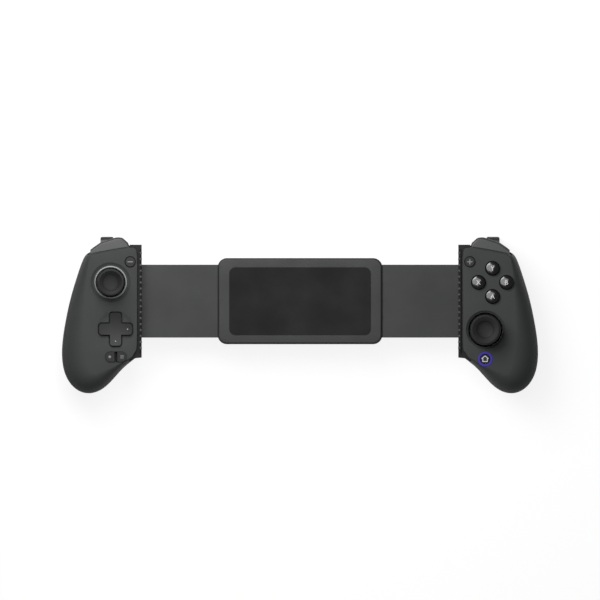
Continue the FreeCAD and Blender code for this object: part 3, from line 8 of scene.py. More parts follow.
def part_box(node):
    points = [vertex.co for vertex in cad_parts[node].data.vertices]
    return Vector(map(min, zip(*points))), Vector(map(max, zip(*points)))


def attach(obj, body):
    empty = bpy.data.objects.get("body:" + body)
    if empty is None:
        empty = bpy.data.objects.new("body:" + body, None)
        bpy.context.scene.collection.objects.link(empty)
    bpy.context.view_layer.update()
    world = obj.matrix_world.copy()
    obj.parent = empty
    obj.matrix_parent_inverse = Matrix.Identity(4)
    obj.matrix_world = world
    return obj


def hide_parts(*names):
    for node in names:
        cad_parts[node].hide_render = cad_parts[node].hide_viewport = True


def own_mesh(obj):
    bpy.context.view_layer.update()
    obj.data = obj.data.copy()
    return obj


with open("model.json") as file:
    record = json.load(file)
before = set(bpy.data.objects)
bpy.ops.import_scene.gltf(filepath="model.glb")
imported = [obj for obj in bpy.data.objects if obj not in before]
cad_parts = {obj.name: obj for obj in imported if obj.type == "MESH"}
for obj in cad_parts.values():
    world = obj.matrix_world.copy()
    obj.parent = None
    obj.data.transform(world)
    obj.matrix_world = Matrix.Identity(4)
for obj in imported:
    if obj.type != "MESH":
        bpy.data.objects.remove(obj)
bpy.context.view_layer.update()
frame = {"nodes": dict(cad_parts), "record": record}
nodes = frame["nodes"]


# The table, the lamps and the camera
# The controller lies on its back on a pale table under two soft studio lamps, and the camera
# looks straight down on it, as in the photograph. A third lamp lights its back from under the
# table, which is clear from below and throws no shadow.

PHOTO_WIDTH = 0.390
PHOTO_MIDDLE_UP = 0.00975
CAMERA_HEIGHT = 1.2
CAMERA_REACH = 10.0
# Each lamp has its place, the point that it looks at, its width, its height and its power.
LAMPS = {
    "key_lamp": ((-0.17, 0.27, 0.50), (-0.08, 0.0, 0.03), 0.36, 0.36, 2.9),
    "button_lamp": ((0.020, 0.065, 0.56), (0.125, 0.02, 0.046), 0.25, 0.29, 0.8),
    "under_lamp": ((0.05, 0.20, -0.50), (0.0, 0.0, 0.02), 0.40, 0.40, 3.0),
}
STUDIO_STRENGTH = 0.12
WHITE = (1.0, 1.0, 1.0, 1.0)
TABLE_REACH = 6.0
TABLE_DROP = 0.0002
TABLE_LIFT = 0.86

scene = bpy.context.scene
scene.view_settings.view_transform = "Standard"
camera = bpy.data.objects.new("camera", bpy.data.cameras.new("camera"))
scene.collection.objects.link(camera)
camera.data.type = "ORTHO"
camera.data.ortho_scale = PHOTO_WIDTH
camera.data.clip_end = CAMERA_REACH
camera.location = (0.0, PHOTO_MIDDLE_UP, CAMERA_HEIGHT)
scene.camera = camera

for name, (place, target, width, height, power) in LAMPS.items():
    lamp = bpy.data.objects.new(name, bpy.data.lights.new(name, "AREA"))
    lamp.data.shape = "RECTANGLE"
    lamp.data.size = width
    lamp.data.size_y = height
    lamp.data.energy = power
    lamp.location = place
    lamp.rotation_euler = (Vector(target) - Vector(place)).to_track_quat("-Z", "Y").to_euler()
    scene.collection.objects.link(lamp)

studio = bpy.data.worlds.new("studio")
scene.world = studio
studio.use_nodes = True
studio_tree = studio.node_tree
studio_light = studio_tree.nodes["Background"]
studio_light.inputs["Color"].default_value = (0.96, 0.97, 1.0, 1.0)
studio_light.inputs["Strength"].default_value = STUDIO_STRENGTH
studio_white = studio_tree.nodes.new("ShaderNodeBackground")
studio_white.inputs["Color"].default_value = WHITE
studio_ray = studio_tree.nodes.new("ShaderNodeLightPath")
studio_mix = studio_tree.nodes.new("ShaderNodeMixShader")
studio_tree.links.new(studio_ray.outputs["Is Camera Ray"], studio_mix.inputs["Fac"])
studio_tree.links.new(studio_light.outputs["Background"], studio_mix.inputs[1])
studio_tree.links.new(studio_white.outputs["Background"], studio_mix.inputs[2])
studio_tree.links.new(studio_mix.outputs["Shader"], studio_tree.nodes["World Output"].inputs["Surface"])


def math_node(tree, operation, first, second):
    """The result of a math node fed by sockets or plain numbers."""
    step = tree.nodes.new("ShaderNodeMath")
    step.operation = operation
    for socket, value in zip(step.inputs, (first, second)):
        if isinstance(value, float):
            socket.default_value = value
        else:
            tree.links.new(value, socket)
    return step.outputs[0]


table_mesh = bpy.data.meshes.new("table")
table_form = bmesh.new()
bmesh.ops.create_grid(table_form, x_segments=1, y_segments=1, size=TABLE_REACH)
table_form.to_mesh(table_mesh)
table_form.free()
table = bpy.data.objects.new("table", table_mesh)
table.location.z = -TABLE_DROP
scene.collection.objects.link(table)
pale = bpy.data.materials.new("pale_table")
pale.use_nodes = True
pale_tree = pale.node_tree
pale_shader = pale_tree.nodes["Principled BSDF"]
pale_shader.inputs["Base Color"].default_value = (0.20, 0.20, 0.20, 1.0)
pale_shader.inputs["Roughness"].default_value = 0.9
pale_shader.inputs["Specular IOR Level"].default_value = 0.1
pale_shader.inputs["Emission Color"].default_value = WHITE
pale_ray = pale_tree.nodes.new("ShaderNodeLightPath").outputs
pale_side = pale_tree.nodes.new("ShaderNodeNewGeometry").outputs
pale_seen = math_node(pale_tree, "MAXIMUM", pale_ray["Is Camera Ray"], pale_ray["Is Glossy Ray"])
pale_lift = math_node(pale_tree, "MULTIPLY", pale_seen, TABLE_LIFT)
pale_open = math_node(pale_tree, "MAXIMUM", pale_side["Backfacing"], pale_ray["Is Shadow Ray"])
pale_clear = pale_tree.nodes.new("ShaderNodeBsdfTransparent")
pale_mix = pale_tree.nodes.new("ShaderNodeMixShader")
pale_tree.links.new(pale_lift, pale_shader.inputs["Emission Strength"])
pale_tree.links.new(pale_open, pale_mix.inputs["Fac"])
pale_tree.links.new(pale_shader.outputs["BSDF"], pale_mix.inputs[1])
pale_tree.links.new(pale_clear.outputs["BSDF"], pale_mix.inputs[2])
pale_tree.links.new(pale_mix.outputs["Shader"], pale_tree.nodes["Material Output"].inputs["Surface"])
table_mesh.materials.append(pale)


# The grips: a faceplate and a back shell each
# Every grip is a hollow moulding of fine-grained charcoal plastic, split along its side;
# the faceplate holds on by magnets and the back shell by screws.

MILLIMETRE = 0.001
SOLID_WELD = 0.0001 * MILLIMETRE
SHARP_EDGE = math.radians(32)


def build_grain():
    """Moulded grain: fine bumps, and a tone and gloss that drift a little over the surface."""
    group = bpy.data.node_groups.new("moulded_grain", "ShaderNodeTree")
    for label in ("Colour", "Drift", "Roughness", "Grain per metre", "Depth"):
        kind = "NodeSocketColor" if label == "Colour" else "NodeSocketFloat"
        group.interface.new_socket(label, in_out="INPUT", socket_type=kind)
    for label, kind in (("Colour", "Color"), ("Roughness", "Float"), ("Normal", "Vector")):
        group.interface.new_socket(label, in_out="OUTPUT", socket_type=f"NodeSocket{kind}")
    tree = group.nodes
    links = group.links
    given = tree.new("NodeGroupInput").outputs
    out = tree.new("NodeGroupOutput").inputs
    place = tree.new("ShaderNodeTexCoord").outputs["Object"]
    fine = tree.new("ShaderNodeTexNoise")
    fine.inputs["Detail"].default_value = 3.0
    links.new(place, fine.inputs["Vector"])
    links.new(given["Grain per metre"], fine.inputs["Scale"])
    bump = tree.new("ShaderNodeBump")
    bump.inputs["Strength"].default_value = 0.55
    links.new(given["Depth"], bump.inputs["Distance"])
    links.new(fine.outputs["Fac"], bump.inputs["Height"])
    links.new(bump.outputs["Normal"], out["Normal"])
    broad = tree.new("ShaderNodeTexNoise")
    broad.inputs["Scale"].default_value = 42.0
    broad.inputs["Detail"].default_value = 4.0
    links.new(place, broad.inputs["Vector"])
    spread = tree.new("ShaderNodeMapRange")
    spread.inputs["From Min"].default_value = 0.3
    spread.inputs["From Max"].default_value = 0.7
    links.new(broad.outputs["Fac"], spread.inputs["Value"])
    for end, operation in (("To Min", "SUBTRACT"), ("To Max", "ADD")):
        links.new(math_node(group, operation, 1.0, given["Drift"]), spread.inputs[end])
    tone = tree.new("ShaderNodeVectorMath")
    tone.operation = "SCALE"
    links.new(given["Colour"], tone.inputs[0])
    links.new(spread.outputs["Result"], tone.inputs["Scale"])
    links.new(tone.outputs["Vector"], out["Colour"])
    gloss = math_node(group, "MULTIPLY", given["Roughness"], spread.outputs["Result"])
    links.new(gloss, out["Roughness"])
    return group


moulded_grain = build_grain()


def grained(name, colour, roughness, grain=2600.0, depth=0.00002, drift=0.08, **plain):
    """A material with the moulded grain; plain sets the shader's own sockets."""
    material = bpy.data.materials.new(name)
    material.use_nodes = True
    tree = material.node_tree
    shader = tree.nodes["Principled BSDF"]
    moulding = tree.nodes.new("ShaderNodeGroup")
    moulding.node_tree = moulded_grain
    moulding.inputs["Colour"].default_value = (*colour, 1.0)
    moulding.inputs["Drift"].default_value = drift
    moulding.inputs["Roughness"].default_value = roughness
    moulding.inputs["Grain per metre"].default_value = grain
    moulding.inputs["Depth"].default_value = depth
    for label, socket in (("Colour", "Base Color"), ("Roughness", "Roughness"), ("Normal", "Normal")):
        tree.links.new(moulding.outputs[label], shader.inputs[socket])
    for socket, value in plain.items():
        shader.inputs[socket.replace("_", " ")].default_value = value
    return material


def body_and_slot(node):
    """The body that carries a node, and the finish slot that the record gives it."""
    record = frame["record"]
    body = next(name for name, members in record["behaviour"]["bodies"].items() if node in members)
    slot = next(part["material_slot"] for part in record["subparts"] if part["node"] == node)
    return body, slot


def finish_piece(name, form, material, node, instead=True):
    """A piece that rides with a node's body and, unless told not to, stands for the node."""
    mesh = bpy.data.meshes.new(name)
    for face in form.faces:
        face.smooth = True
    for edge in form.edges:
        edge.smooth = not (len(edge.link_faces) == 2 and edge.calc_face_angle(0.0) > SHARP_EDGE)
    form.to_mesh(mesh)
    form.free()
    mesh.materials.append(material)
    piece = bpy.data.objects.new(name, mesh)
    scene.collection.objects.link(piece)
    body, slot = body_and_slot(node)
    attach(piece, body)
    if instead:
        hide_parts(node)
    return piece


def smooth_moulding(node, material):
    """The node's own form with its triangles joined up, so that its curves shade smoothly."""
    form = bmesh.new()
    form.from_mesh(nodes[node].data)
    bmesh.ops.remove_doubles(form, verts=form.verts, dist=SOLID_WELD)
    return finish_piece(f"{node}_moulding", form, material, node)


charcoal = grained(
    "charcoal_moulding", (0.050, 0.052, 0.0515), 0.60,
    grain=3000.0, depth=0.00003, drift=0.05, Specular_IOR_Level=0.12,
)
charcoal_back = grained(
    "charcoal_back_moulding", (0.036, 0.038, 0.038), 0.62,
    grain=2200.0, depth=0.00005, drift=0.06, Specular_IOR_Level=0.12,
)
for side in ("left", "right"):
    smooth_moulding(f"{side}_faceplate", charcoal)
    smooth_moulding(f"{side}_back_shell", charcoal_back)


# The chassis of each grip
# A matt black moulding carries everything in the grip; only its jaw wall and lips
# show, beside the ribbed rubber.

matt_black = grained(
    "matt_black_moulding", (0.005, 0.005, 0.0055), 0.62, grain=2400.0, depth=0.00003, Specular_IOR_Level=0.3,
)
for side in ("left", "right"):
    smooth_moulding(f"{side}_chassis", matt_black)


# The ribbed rubber of the jaws
# A black rubber strip with a row of upright ribs is glued into each jaw and
# presses on the end of the device; the rounded front ends of the ribs are painted a lighter grey as a painted
# highlight.

jaw_rubber = grained(
    "jaw_rubber", (0.007, 0.007, 0.0075), 0.72,
    grain=1800.0, depth=0.00004, drift=0.12, Specular_IOR_Level=0.3,
)
# The lighter grey of the rib ends is a painted highlight where light catches their rounded tips.
rib_end_highlight_rubber = grained("rib_end_highlight_rubber", (0.050, 0.050, 0.050), 0.60, grain=2400.0, depth=0.00003, drift=0.15)
RIB_RADIUS = 0.9
RIB_PITCH = 3.85
RIB_COUNT = 17
RIB_END_RADIUS = 0.8
RIB_END_HEIGHT = 0.4
for side in ("left", "right"):
    smooth_moulding(f"{side}_jaw_pad", jaw_rubber)
    low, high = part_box(f"{side}_jaw_pad")
    rib_x = low.x + RIB_RADIUS * MILLIMETRE if side == "right" else high.x - RIB_RADIUS * MILLIMETRE
    form = bmesh.new()
    for step in range(RIB_COUNT):
        rib_y = (low.y + high.y) / 2 + (step - (RIB_COUNT - 1) / 2) * RIB_PITCH * MILLIMETRE
        end = Matrix.Translation((rib_x, rib_y, high.z)) @ Matrix.Diagonal((1, 1, RIB_END_HEIGHT, 1))
        bmesh.ops.create_uvsphere(
            form, u_segments=20, v_segments=10, radius=RIB_END_RADIUS * MILLIMETRE, matrix=end,
        )
    finish_piece(f"{side}_rib_ends", form, rib_end_highlight_rubber, f"{side}_jaw_pad", instead=False)


# The bridge and its soft rest
# Two black covers screw together round the sliding arms, and a thin rubber
# sheet on the front keeps the device from scratching.

bridge_black = grained("bridge_moulding", (0.014, 0.0145, 0.015), 0.55, grain=2000.0, depth=0.00004)
for node in ("bridge_front_cover", "bridge_back_cover", "left_arm", "right_arm"):
    smooth_moulding(node, bridge_black)
rest_rubber = grained(
    "rest_rubber", (0.009, 0.009, 0.0095), 0.78,
    grain=1500.0, depth=0.00005, drift=0.14, Specular_IOR_Level=0.3,
)
smooth_moulding("bridge_rest_pad", rest_rubber)


# Steel screws and magnets
# The bridge and the shells close on small steel screws, and nickel plated
# magnets stand on posts under each faceplate.

def bare_metal(name, colour, roughness):
    """Bare metal whose tone and gloss drift a little from place to place."""
    return grained(name, colour, roughness, grain=900.0, depth=0.00001, drift=0.10, Metallic=1.0)


screw_steel = bare_metal("screw_steel", (0.50, 0.51, 0.52), 0.34)
magnet_nickel = bare_metal("magnet_nickel", (0.62, 0.61, 0.58), 0.22)
smooth_moulding("bridge_screws", screw_steel)
for side in ("left", "right"):
    smooth_moulding(f"{side}_shell_screws", screw_steel)
    smooth_moulding(f"{side}_faceplate_magnets", magnet_nickel)


# The pinion between the racks
# A small gear of pale acetal turns on a post and makes both arms move alike.

acetal = grained("pale_acetal", (0.62, 0.60, 0.55), 0.42, grain=1200.0, depth=0.00001, drift=0.03)
smooth_moulding("bridge_pinion", acetal)


# The return springs
# Two long coil springs of drawn wire lie in the rails and pull the grips together.
# Each is hooked to the bridge at one end and to an arm at the other.

spring_wire = bare_metal("spring_wire", (0.42, 0.43, 0.44), 0.30)
WIRE_SIDES = 6
SPRING_ANCHOR = 49.0
SPRING_INSET = 1.3
SPRING_RADIUS = 1.05
SPRING_WIRE = 0.22


def coil(start, axis, length, radius, wire, turns, around):
    """A coil spring spun round a line from its start, with its sizes in metres."""
    form = bmesh.new()
    along = Vector(axis).normalized()
    outwards = along.orthogonal().normalized()
    section = Matrix.Translation(Vector(start) + outwards * radius)
    across = along.cross(outwards).to_track_quat("Z", "Y").to_matrix().to_4x4()
    ring = bmesh.ops.create_circle(form, segments=WIRE_SIDES, radius=wire, matrix=section @ across)["verts"]
    steps = turns * around
    edges = list({edge for vertex in ring for edge in vertex.link_edges})
    bmesh.ops.spin(
        form, geom=ring + edges, cent=start, axis=along, dvec=along * (length / steps),
        angle=math.tau * turns, steps=steps, use_duplicate=False,
    )
    bmesh.ops.holes_fill(form, edges=form.edges)
    bmesh.ops.recalc_face_normals(form, faces=form.faces)
    return form


low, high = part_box("bridge_return_springs")
for joint, way in (("left_slide", -1), ("right_slide", 1)):
    up = low.y + SPRING_INSET * MILLIMETRE if way < 0 else high.y - SPRING_INSET * MILLIMETRE
    anchor = Vector((-way * SPRING_ANCHOR * MILLIMETRE, up, (low.z + high.z) / 2))
    reach = high.x + SPRING_ANCHOR * MILLIMETRE
    form = coil(
        anchor, (way, 0, 0), reach, SPRING_RADIUS * MILLIMETRE, SPRING_WIRE * MILLIMETRE, turns=96, around=12,
    )
    spring = finish_piece(f"return_spring_{joint}", form, spring_wire, "bridge_return_springs")
    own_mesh(spring)


# The ribbon between the circuit boards
# A flat amber film lies inside the bridge, on a mesh of its own.

amber_film = grained("amber_film", (0.62, 0.27, 0.05), 0.28, grain=300.0, depth=0.00001, drift=0.10)
ribbon = smooth_moulding("bridge_flex_cable", amber_film)
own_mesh(ribbon)


# The thumbsticks
# Each has a grey case with a gimbal and a stem, and a rubber cap with a dished middle, a rolled
# rim with fine ribs round it and a dome about the pivot that closes the hole.

stick_grey = grained("stick_grey_moulding", (0.16, 0.17, 0.18), 0.45, grain=1500.0)
cap_rubber = grained(
    "cap_rubber", (0.005, 0.0052, 0.0052), 0.60, grain=3200.0, depth=0.00005, Specular_IOR_Level=0.3,
)
dish_rubber = grained(
    "dish_rubber", (0.012, 0.0122, 0.0122), 0.66,
    grain=4200.0, depth=0.00004, drift=0.06, Specular_IOR_Level=0.3,
)
# Each stick has its place in metres, the radius of its rim and the turn in degrees that ends its dome.
STICKS = {"left": (-0.1231, 0.0212, 9.1, 54), "right": (0.1205, -0.0096, 10.1, 62)}
CAP_TOP = 56.6
PIVOT_HEIGHT = 34.0
# The points of the dish and the neck are a radius and a drop under the top of the cap. Those of the
# rim are an inset from its radius and a drop.
DISH = (
    (0.0, 2.0), (1.6, 1.96), (3.1, 1.8), (4.4, 1.5), (5.2, 1.15),
    (5.6, 0.85), (5.8, 0.62), (6.1, 0.55), (6.6, 0.42),
)
DISH_EDGE = 5.7
RIM = (
    (1.9, 0.10), (1.2, 0.0), (0.6, 0.16), (0.2, 0.55), (0.0, 1.15),
    (0.0, 1.9), (0.15, 2.6), (0.7, 3.4), (2.0, 4.7),
)
RIM_BAND = 0.3
RIM_DEPTH = 3.0
RIM_RIBS = 72
RIM_GROOVE = 0.16
NECK = ((5.6, 6.3), (4.9, 7.4), (4.6, 8.6))
DOME_OVER = 2.2
DOME_WALL = 0.9
DOME_START = 26
DOME_STEP = 4
DOME_STEP_BACK = 7
SOCKET_RADIUS = 2.05
SOCKET_ROOF = 6.2
SOCKET_MOUTH = 0.4
FORM_WELD = 0.001 * MILLIMETRE


def spun(outline, x, y, steps):
    """A closed form spun about an upright line from (radius, height) points in millimetres."""
    form = bmesh.new()
    corners = [form.verts.new((radius * MILLIMETRE, 0, height * MILLIMETRE)) for radius, height in outline]
    for first, second in zip(corners, corners[1:]):
        form.edges.new((first, second))
    bmesh.ops.spin(
        form, geom=form.verts[:] + form.edges[:], cent=(0, 0, 0), axis=(0, 0, 1),
        angle=math.tau, steps=steps, use_merge=True, use_duplicate=False,
    )
    bmesh.ops.remove_doubles(form, verts=form.verts, dist=FORM_WELD)
    bmesh.ops.recalc_face_normals(form, faces=form.faces)
    bmesh.ops.translate(form, verts=form.verts, vec=(x, y, 0))
    return form


def dome_points(radius, turns):
    """Points of a dome about the pivot, each a radius and a height, at some turns in degrees."""
    angles = [math.radians(turn) for turn in turns]
    return [(radius * math.sin(angle), PIVOT_HEIGHT + radius * math.cos(angle)) for angle in angles]


def paint_band(piece, material, x, y, near, far, floor):
    """Give a second material to the faces between two radii about a line and above a floor."""
    piece.data.materials.append(material)
    for face in piece.data.polygons:
        radius = math.hypot(face.center.x - x, face.center.y - y)
        if near * MILLIMETRE <= radius < far * MILLIMETRE and face.center.z > floor * MILLIMETRE:
            face.material_index = 1


for side, (x, y, rim, dome_edge) in STICKS.items():
    for part in ("base", "gimbal", "stem"):
        smooth_moulding(f"{side}_stick_{part}", stick_grey)
    outline = [(radius, CAP_TOP - drop) for radius, drop in DISH]
    outline += [(rim - inset, CAP_TOP - drop) for inset, drop in RIM]
    outline += [(radius, CAP_TOP - drop) for radius, drop in NECK]
    outline += dome_points(rim + DOME_OVER, range(DOME_START, dome_edge + 1, DOME_STEP))
    outline += dome_points(rim + DOME_OVER - DOME_WALL, range(dome_edge, DOME_START - 1, -DOME_STEP_BACK))
    outline += [
        (SOCKET_RADIUS, PIVOT_HEIGHT + rim + SOCKET_MOUTH), (SOCKET_RADIUS, CAP_TOP - SOCKET_ROOF),
        (0.0, CAP_TOP - SOCKET_ROOF),
    ]
    form = spun(outline, 0, 0, RIM_RIBS * 2)
    for vertex in form.verts:
        radius = math.hypot(vertex.co.x, vertex.co.y) / MILLIMETRE
        height = vertex.co.z / MILLIMETRE
        groove = round(math.atan2(vertex.co.y, vertex.co.x) / math.tau * RIM_RIBS * 2) % 2
        if groove and radius > rim - RIM_BAND and height > CAP_TOP - RIM_DEPTH:
            vertex.co.x *= 1 - RIM_GROOVE / radius
            vertex.co.y *= 1 - RIM_GROOVE / radius
    bmesh.ops.translate(form, verts=form.verts, vec=(x, y, 0))
    cap = finish_piece(f"{side}_thumb_cap", form, cap_rubber, f"{side}_stick_cap")
    paint_band(cap, dish_rubber, x, y, 0.0, DISH_EDGE, CAP_TOP - RIM_DEPTH)


# The silver ring round the left stick
# A turned ring of satin aluminium is pressed into the left faceplate.

ring_metal = bpy.data.materials.new("satin_aluminium")
ring_metal.use_nodes = True
ring_tree = ring_metal.node_tree
ring_shader = ring_tree.nodes["Principled BSDF"]
ring_shader.inputs["Base Color"].default_value = (0.27, 0.275, 0.275, 1.0)
ring_shader.inputs["Metallic"].default_value = 1.0
ring_place = ring_tree.nodes.new("ShaderNodeTexCoord")
ring_noise = ring_tree.nodes.new("ShaderNodeTexNoise")
ring_noise.inputs["Scale"].default_value = 700.0
ring_spread = ring_tree.nodes.new("ShaderNodeMapRange")
ring_spread.inputs["To Min"].default_value = 0.52
ring_spread.inputs["To Max"].default_value = 0.66
ring_tree.links.new(ring_place.outputs["Object"], ring_noise.inputs["Vector"])
ring_tree.links.new(ring_noise.outputs["Fac"], ring_spread.inputs["Value"])
ring_tree.links.new(ring_spread.outputs["Result"], ring_shader.inputs["Roughness"])
RING_OUTLINE = (
    (9.5, 41.0), (10.8, 41.0), (10.8, 43.5), (10.72, 43.7), (10.5, 43.85), (10.15, 43.9),
    (9.8, 43.85), (9.58, 43.7), (9.5, 43.5), (9.5, 41.0),
)
RING_STEPS = 128
ring_x, ring_y = STICKS["left"][:2]
finish_piece("silver_ring", spun(RING_OUTLINE, ring_x, ring_y, RING_STEPS), ring_metal, "left_stick_ring")


# The direction pad
# One charcoal moulding with a dished cross rolls on its rocker; two pale dots mark its right
# and lower arms.

pad_moulding = grained("pad_moulding", (0.019, 0.0195, 0.020), 0.52, drift=0.05, Specular_IOR_Level=0.3)
smooth_moulding("dpad", pad_moulding)
smooth_moulding("dpad_rocker", stick_grey)
pale_ink = grained("pale_ink", (0.42, 0.43, 0.43), 0.5, grain=1500.0, depth=0.00001, drift=0.05)
PAD_X = -0.1199
PAD_Y = -0.0092
DOT_REACH = 7.9
DOT_HEIGHT = 45.50
DOT_RADIUS = 0.42
DOT_THICKNESS = 0.09
DOT_SHOULDER = 0.6
DOT_CROWN = 0.8
DOT_STEPS = 24


def flat_disc(x, y, z, radius, thickness):
    """A printed dot with a rounded edge."""
    shoulder = z + thickness * DOT_SHOULDER
    top = z + thickness
    outline = [(0, z), (radius, z), (radius, shoulder), (radius * DOT_CROWN, top), (0, top)]
    return spun(outline, x, y, DOT_STEPS)


for name, across, up in (("pad_right_dot", DOT_REACH, 0.0), ("pad_lower_dot", 0.0, -DOT_REACH)):
    dot_x = PAD_X + across * MILLIMETRE
    dot_y = PAD_Y + up * MILLIMETRE
    form = flat_disc(dot_x, dot_y, DOT_HEIGHT, DOT_RADIUS, DOT_THICKNESS)
    finish_piece(name, form, pale_ink, "dpad", instead=False)


# The action buttons
# Polished black domes with a matt edge and a pale letter printed on each, over a flange that
# the faceplate holds down and a plunger that presses the rubber sheet.

gloss_black = grained(
    "gloss_black", (0.006, 0.006, 0.0065), 0.14, grain=300.0, depth=0.000001, drift=0.2,
    Coat_Weight=0.6, Coat_Roughness=0.08,
)
button_edge = grained(
    "button_edge", (0.005, 0.005, 0.0055), 0.60,
    grain=2400.0, depth=0.00001, drift=0.1, Specular_IOR_Level=0.15,
)
ACTION_BUTTONS = {
    "x": (0.11595, 0.0212), "y": (0.1251, 0.03035), "b": (0.13425, 0.0212), "a": (0.1251, 0.01205),
}
BUTTON_STEPS = 72
BUTTON_TOP = 46.2
BUTTON_RADIUS = 4.6
# The dome is given by its radii, and the edge by a radius and a drop under the top.
BUTTON_DOME = (0.0, 1.0, 2.0, 2.9, 3.6, 4.05)
BUTTON_EDGE = ((4.32, 0.14), (4.5, 0.36), (BUTTON_RADIUS, 0.7))
EDGE_START = 4.1
DOME_TOP = BUTTON_TOP + 0.4
DOME_RADIUS = 20.0
FLANGE_TOP = 41.6
FLANGE_FOOT = 40.6
FLANGE_RADIUS = 5.2
PLUNGER_RADIUS = 3.4
PLUNGER_FOOT = 34.4
LETTER_SIZE = 4.2
LETTER_DEPTH = 0.05
LETTER_LIFT = 0.03


def dome_height(radius):
    """How high the button's dome is at a radius, in millimetres."""
    return DOME_TOP - DOME_RADIUS + math.sqrt(DOME_RADIUS ** 2 - radius ** 2)


def printed_letter(letter, x, y):
    """A letter as a thin raised print that follows the button's dome."""
    curve = bpy.data.curves.new(f"letter_{letter}", "FONT")
    curve.body = letter
    curve.size = LETTER_SIZE * MILLIMETRE
    curve.align_x = "CENTER"
    curve.align_y = "CENTER"
    curve.extrude = LETTER_DEPTH * MILLIMETRE
    curve.resolution_u = 4
    holder = bpy.data.objects.new(f"letter_{letter}", curve)
    scene.collection.objects.link(holder)
    mesh = bpy.data.meshes.new_from_object(holder.evaluated_get(bpy.context.evaluated_depsgraph_get()))
    bpy.data.objects.remove(holder)
    form = bmesh.new()
    form.from_mesh(mesh)
    bmesh.ops.remove_doubles(form, verts=form.verts, dist=FORM_WELD)
    bmesh.ops.triangulate(form, faces=form.faces)
    xs = [vertex.co.x for vertex in form.verts]
    ys = [vertex.co.y for vertex in form.verts]
    middle = Vector(((min(xs) + max(xs)) / 2, (min(ys) + max(ys)) / 2, 0))
    bmesh.ops.translate(form, verts=form.verts, vec=-middle)
    for vertex in form.verts:
        vertex.co.z += (dome_height(vertex.co.xy.length / MILLIMETRE) + LETTER_LIFT) * MILLIMETRE
    bmesh.ops.translate(form, verts=form.verts, vec=(x, y, 0))
    return form


letter_ink = grained("letter_ink", (0.62, 0.63, 0.63), 0.35, grain=1200.0, depth=0.000005, drift=0.04)
button_outline = [(radius, dome_height(radius)) for radius in BUTTON_DOME]
button_outline += [(radius, BUTTON_TOP - drop) for radius, drop in BUTTON_EDGE]
button_outline += [
    (BUTTON_RADIUS, FLANGE_TOP), (FLANGE_RADIUS, FLANGE_TOP), (FLANGE_RADIUS, FLANGE_FOOT),
    (PLUNGER_RADIUS, FLANGE_FOOT), (PLUNGER_RADIUS, PLUNGER_FOOT), (0.0, PLUNGER_FOOT),
]
for letter, (x, y) in ACTION_BUTTONS.items():
    form = spun(button_outline, x, y, BUTTON_STEPS)
    button = finish_piece(f"action_{letter}", form, gloss_black, f"button_{letter}")
    paint_band(button, button_edge, x, y, EDGE_START, math.inf, 0.0)
    form = printed_letter(letter.upper(), x, y)
    finish_piece(f"action_{letter}_print", form, letter_ink, f"button_{letter}", instead=False)


# The small buttons
# Minus and plus are round, and capture and menu share a pill; all are satin black with pale signs.

satin_black = grained(
    "satin_black", (0.012, 0.012, 0.0125), 0.50,
    grain=1500.0, depth=0.00001, drift=0.06, Specular_IOR_Level=0.3,
)
for node in ("minus_button", "plus_button", "capture_button", "menu_button"):
    smooth_moulding(node, satin_black)
sign_ink = grained("sign_ink", (0.20, 0.205, 0.205), 0.45, grain=1200.0, depth=0.000005, drift=0.04)
SIGN_LENGTH = 3.4
SIGN_WIDTH = 0.6
SIGN_THICKNESS = 0.08
SIGN_OVER = 0.01
SIGN_SHIFT = 0.0002
CAPTURE_RADIUS = 0.85
MENU_LENGTH = 2.2
MENU_WIDTH = 0.32
MENU_PITCH = 0.8


def bar(form, x, y, z, length, width, thickness=SIGN_THICKNESS, turn=0.0):
    """Add a thin bar to a form, turned by some degrees."""
    place = Matrix.Translation((x, y, (z + thickness / 2) * MILLIMETRE))
    size = Matrix.Diagonal((length * MILLIMETRE, width * MILLIMETRE, thickness * MILLIMETRE, 1))
    bmesh.ops.create_cube(form, size=1.0, matrix=place @ Matrix.Rotation(math.radians(turn), 4, "Z") @ size)


def top_middle(low, high):
    """The middle of a box's top: its place in metres and its height in millimetres."""
    return (low.x + high.x) / 2, (low.y + high.y) / 2, high.z / MILLIMETRE


for node in ("minus_button", "plus_button"):
    x, y, top = top_middle(*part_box(node))
    form = bmesh.new()
    bar(form, x, y, top, SIGN_LENGTH, SIGN_WIDTH)
    if node == "plus_button":
        bar(form, x, y, top, SIGN_WIDTH, SIGN_LENGTH, SIGN_THICKNESS + SIGN_OVER)
    finish_piece(f"{node}_sign", form, sign_ink, node, instead=False)
x, pill_y, pill_top = top_middle(*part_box("capture_button"))
form = flat_disc(x + SIGN_SHIFT, pill_y, pill_top, CAPTURE_RADIUS, SIGN_THICKNESS)
finish_piece("capture_dot", form, sign_ink, "capture_button", instead=False)
x = top_middle(*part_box("menu_button"))[0]
form = bmesh.new()
for step in (-1, 0, 1):
    bar(form, x - SIGN_SHIFT, pill_y + step * MENU_PITCH * MILLIMETRE, pill_top, MENU_LENGTH, MENU_WIDTH)
finish_piece("menu_bars", form, sign_ink, "menu_button", instead=False)


# The home button and its light
# A satin button with the outline of a house stands in a clear blue-violet light guide that glows
# round it, and a thin charcoal sleeve of the faceplate stands round the guide. Each bar of the
# sign has its own thickness, so that no two tops lie in one plane.

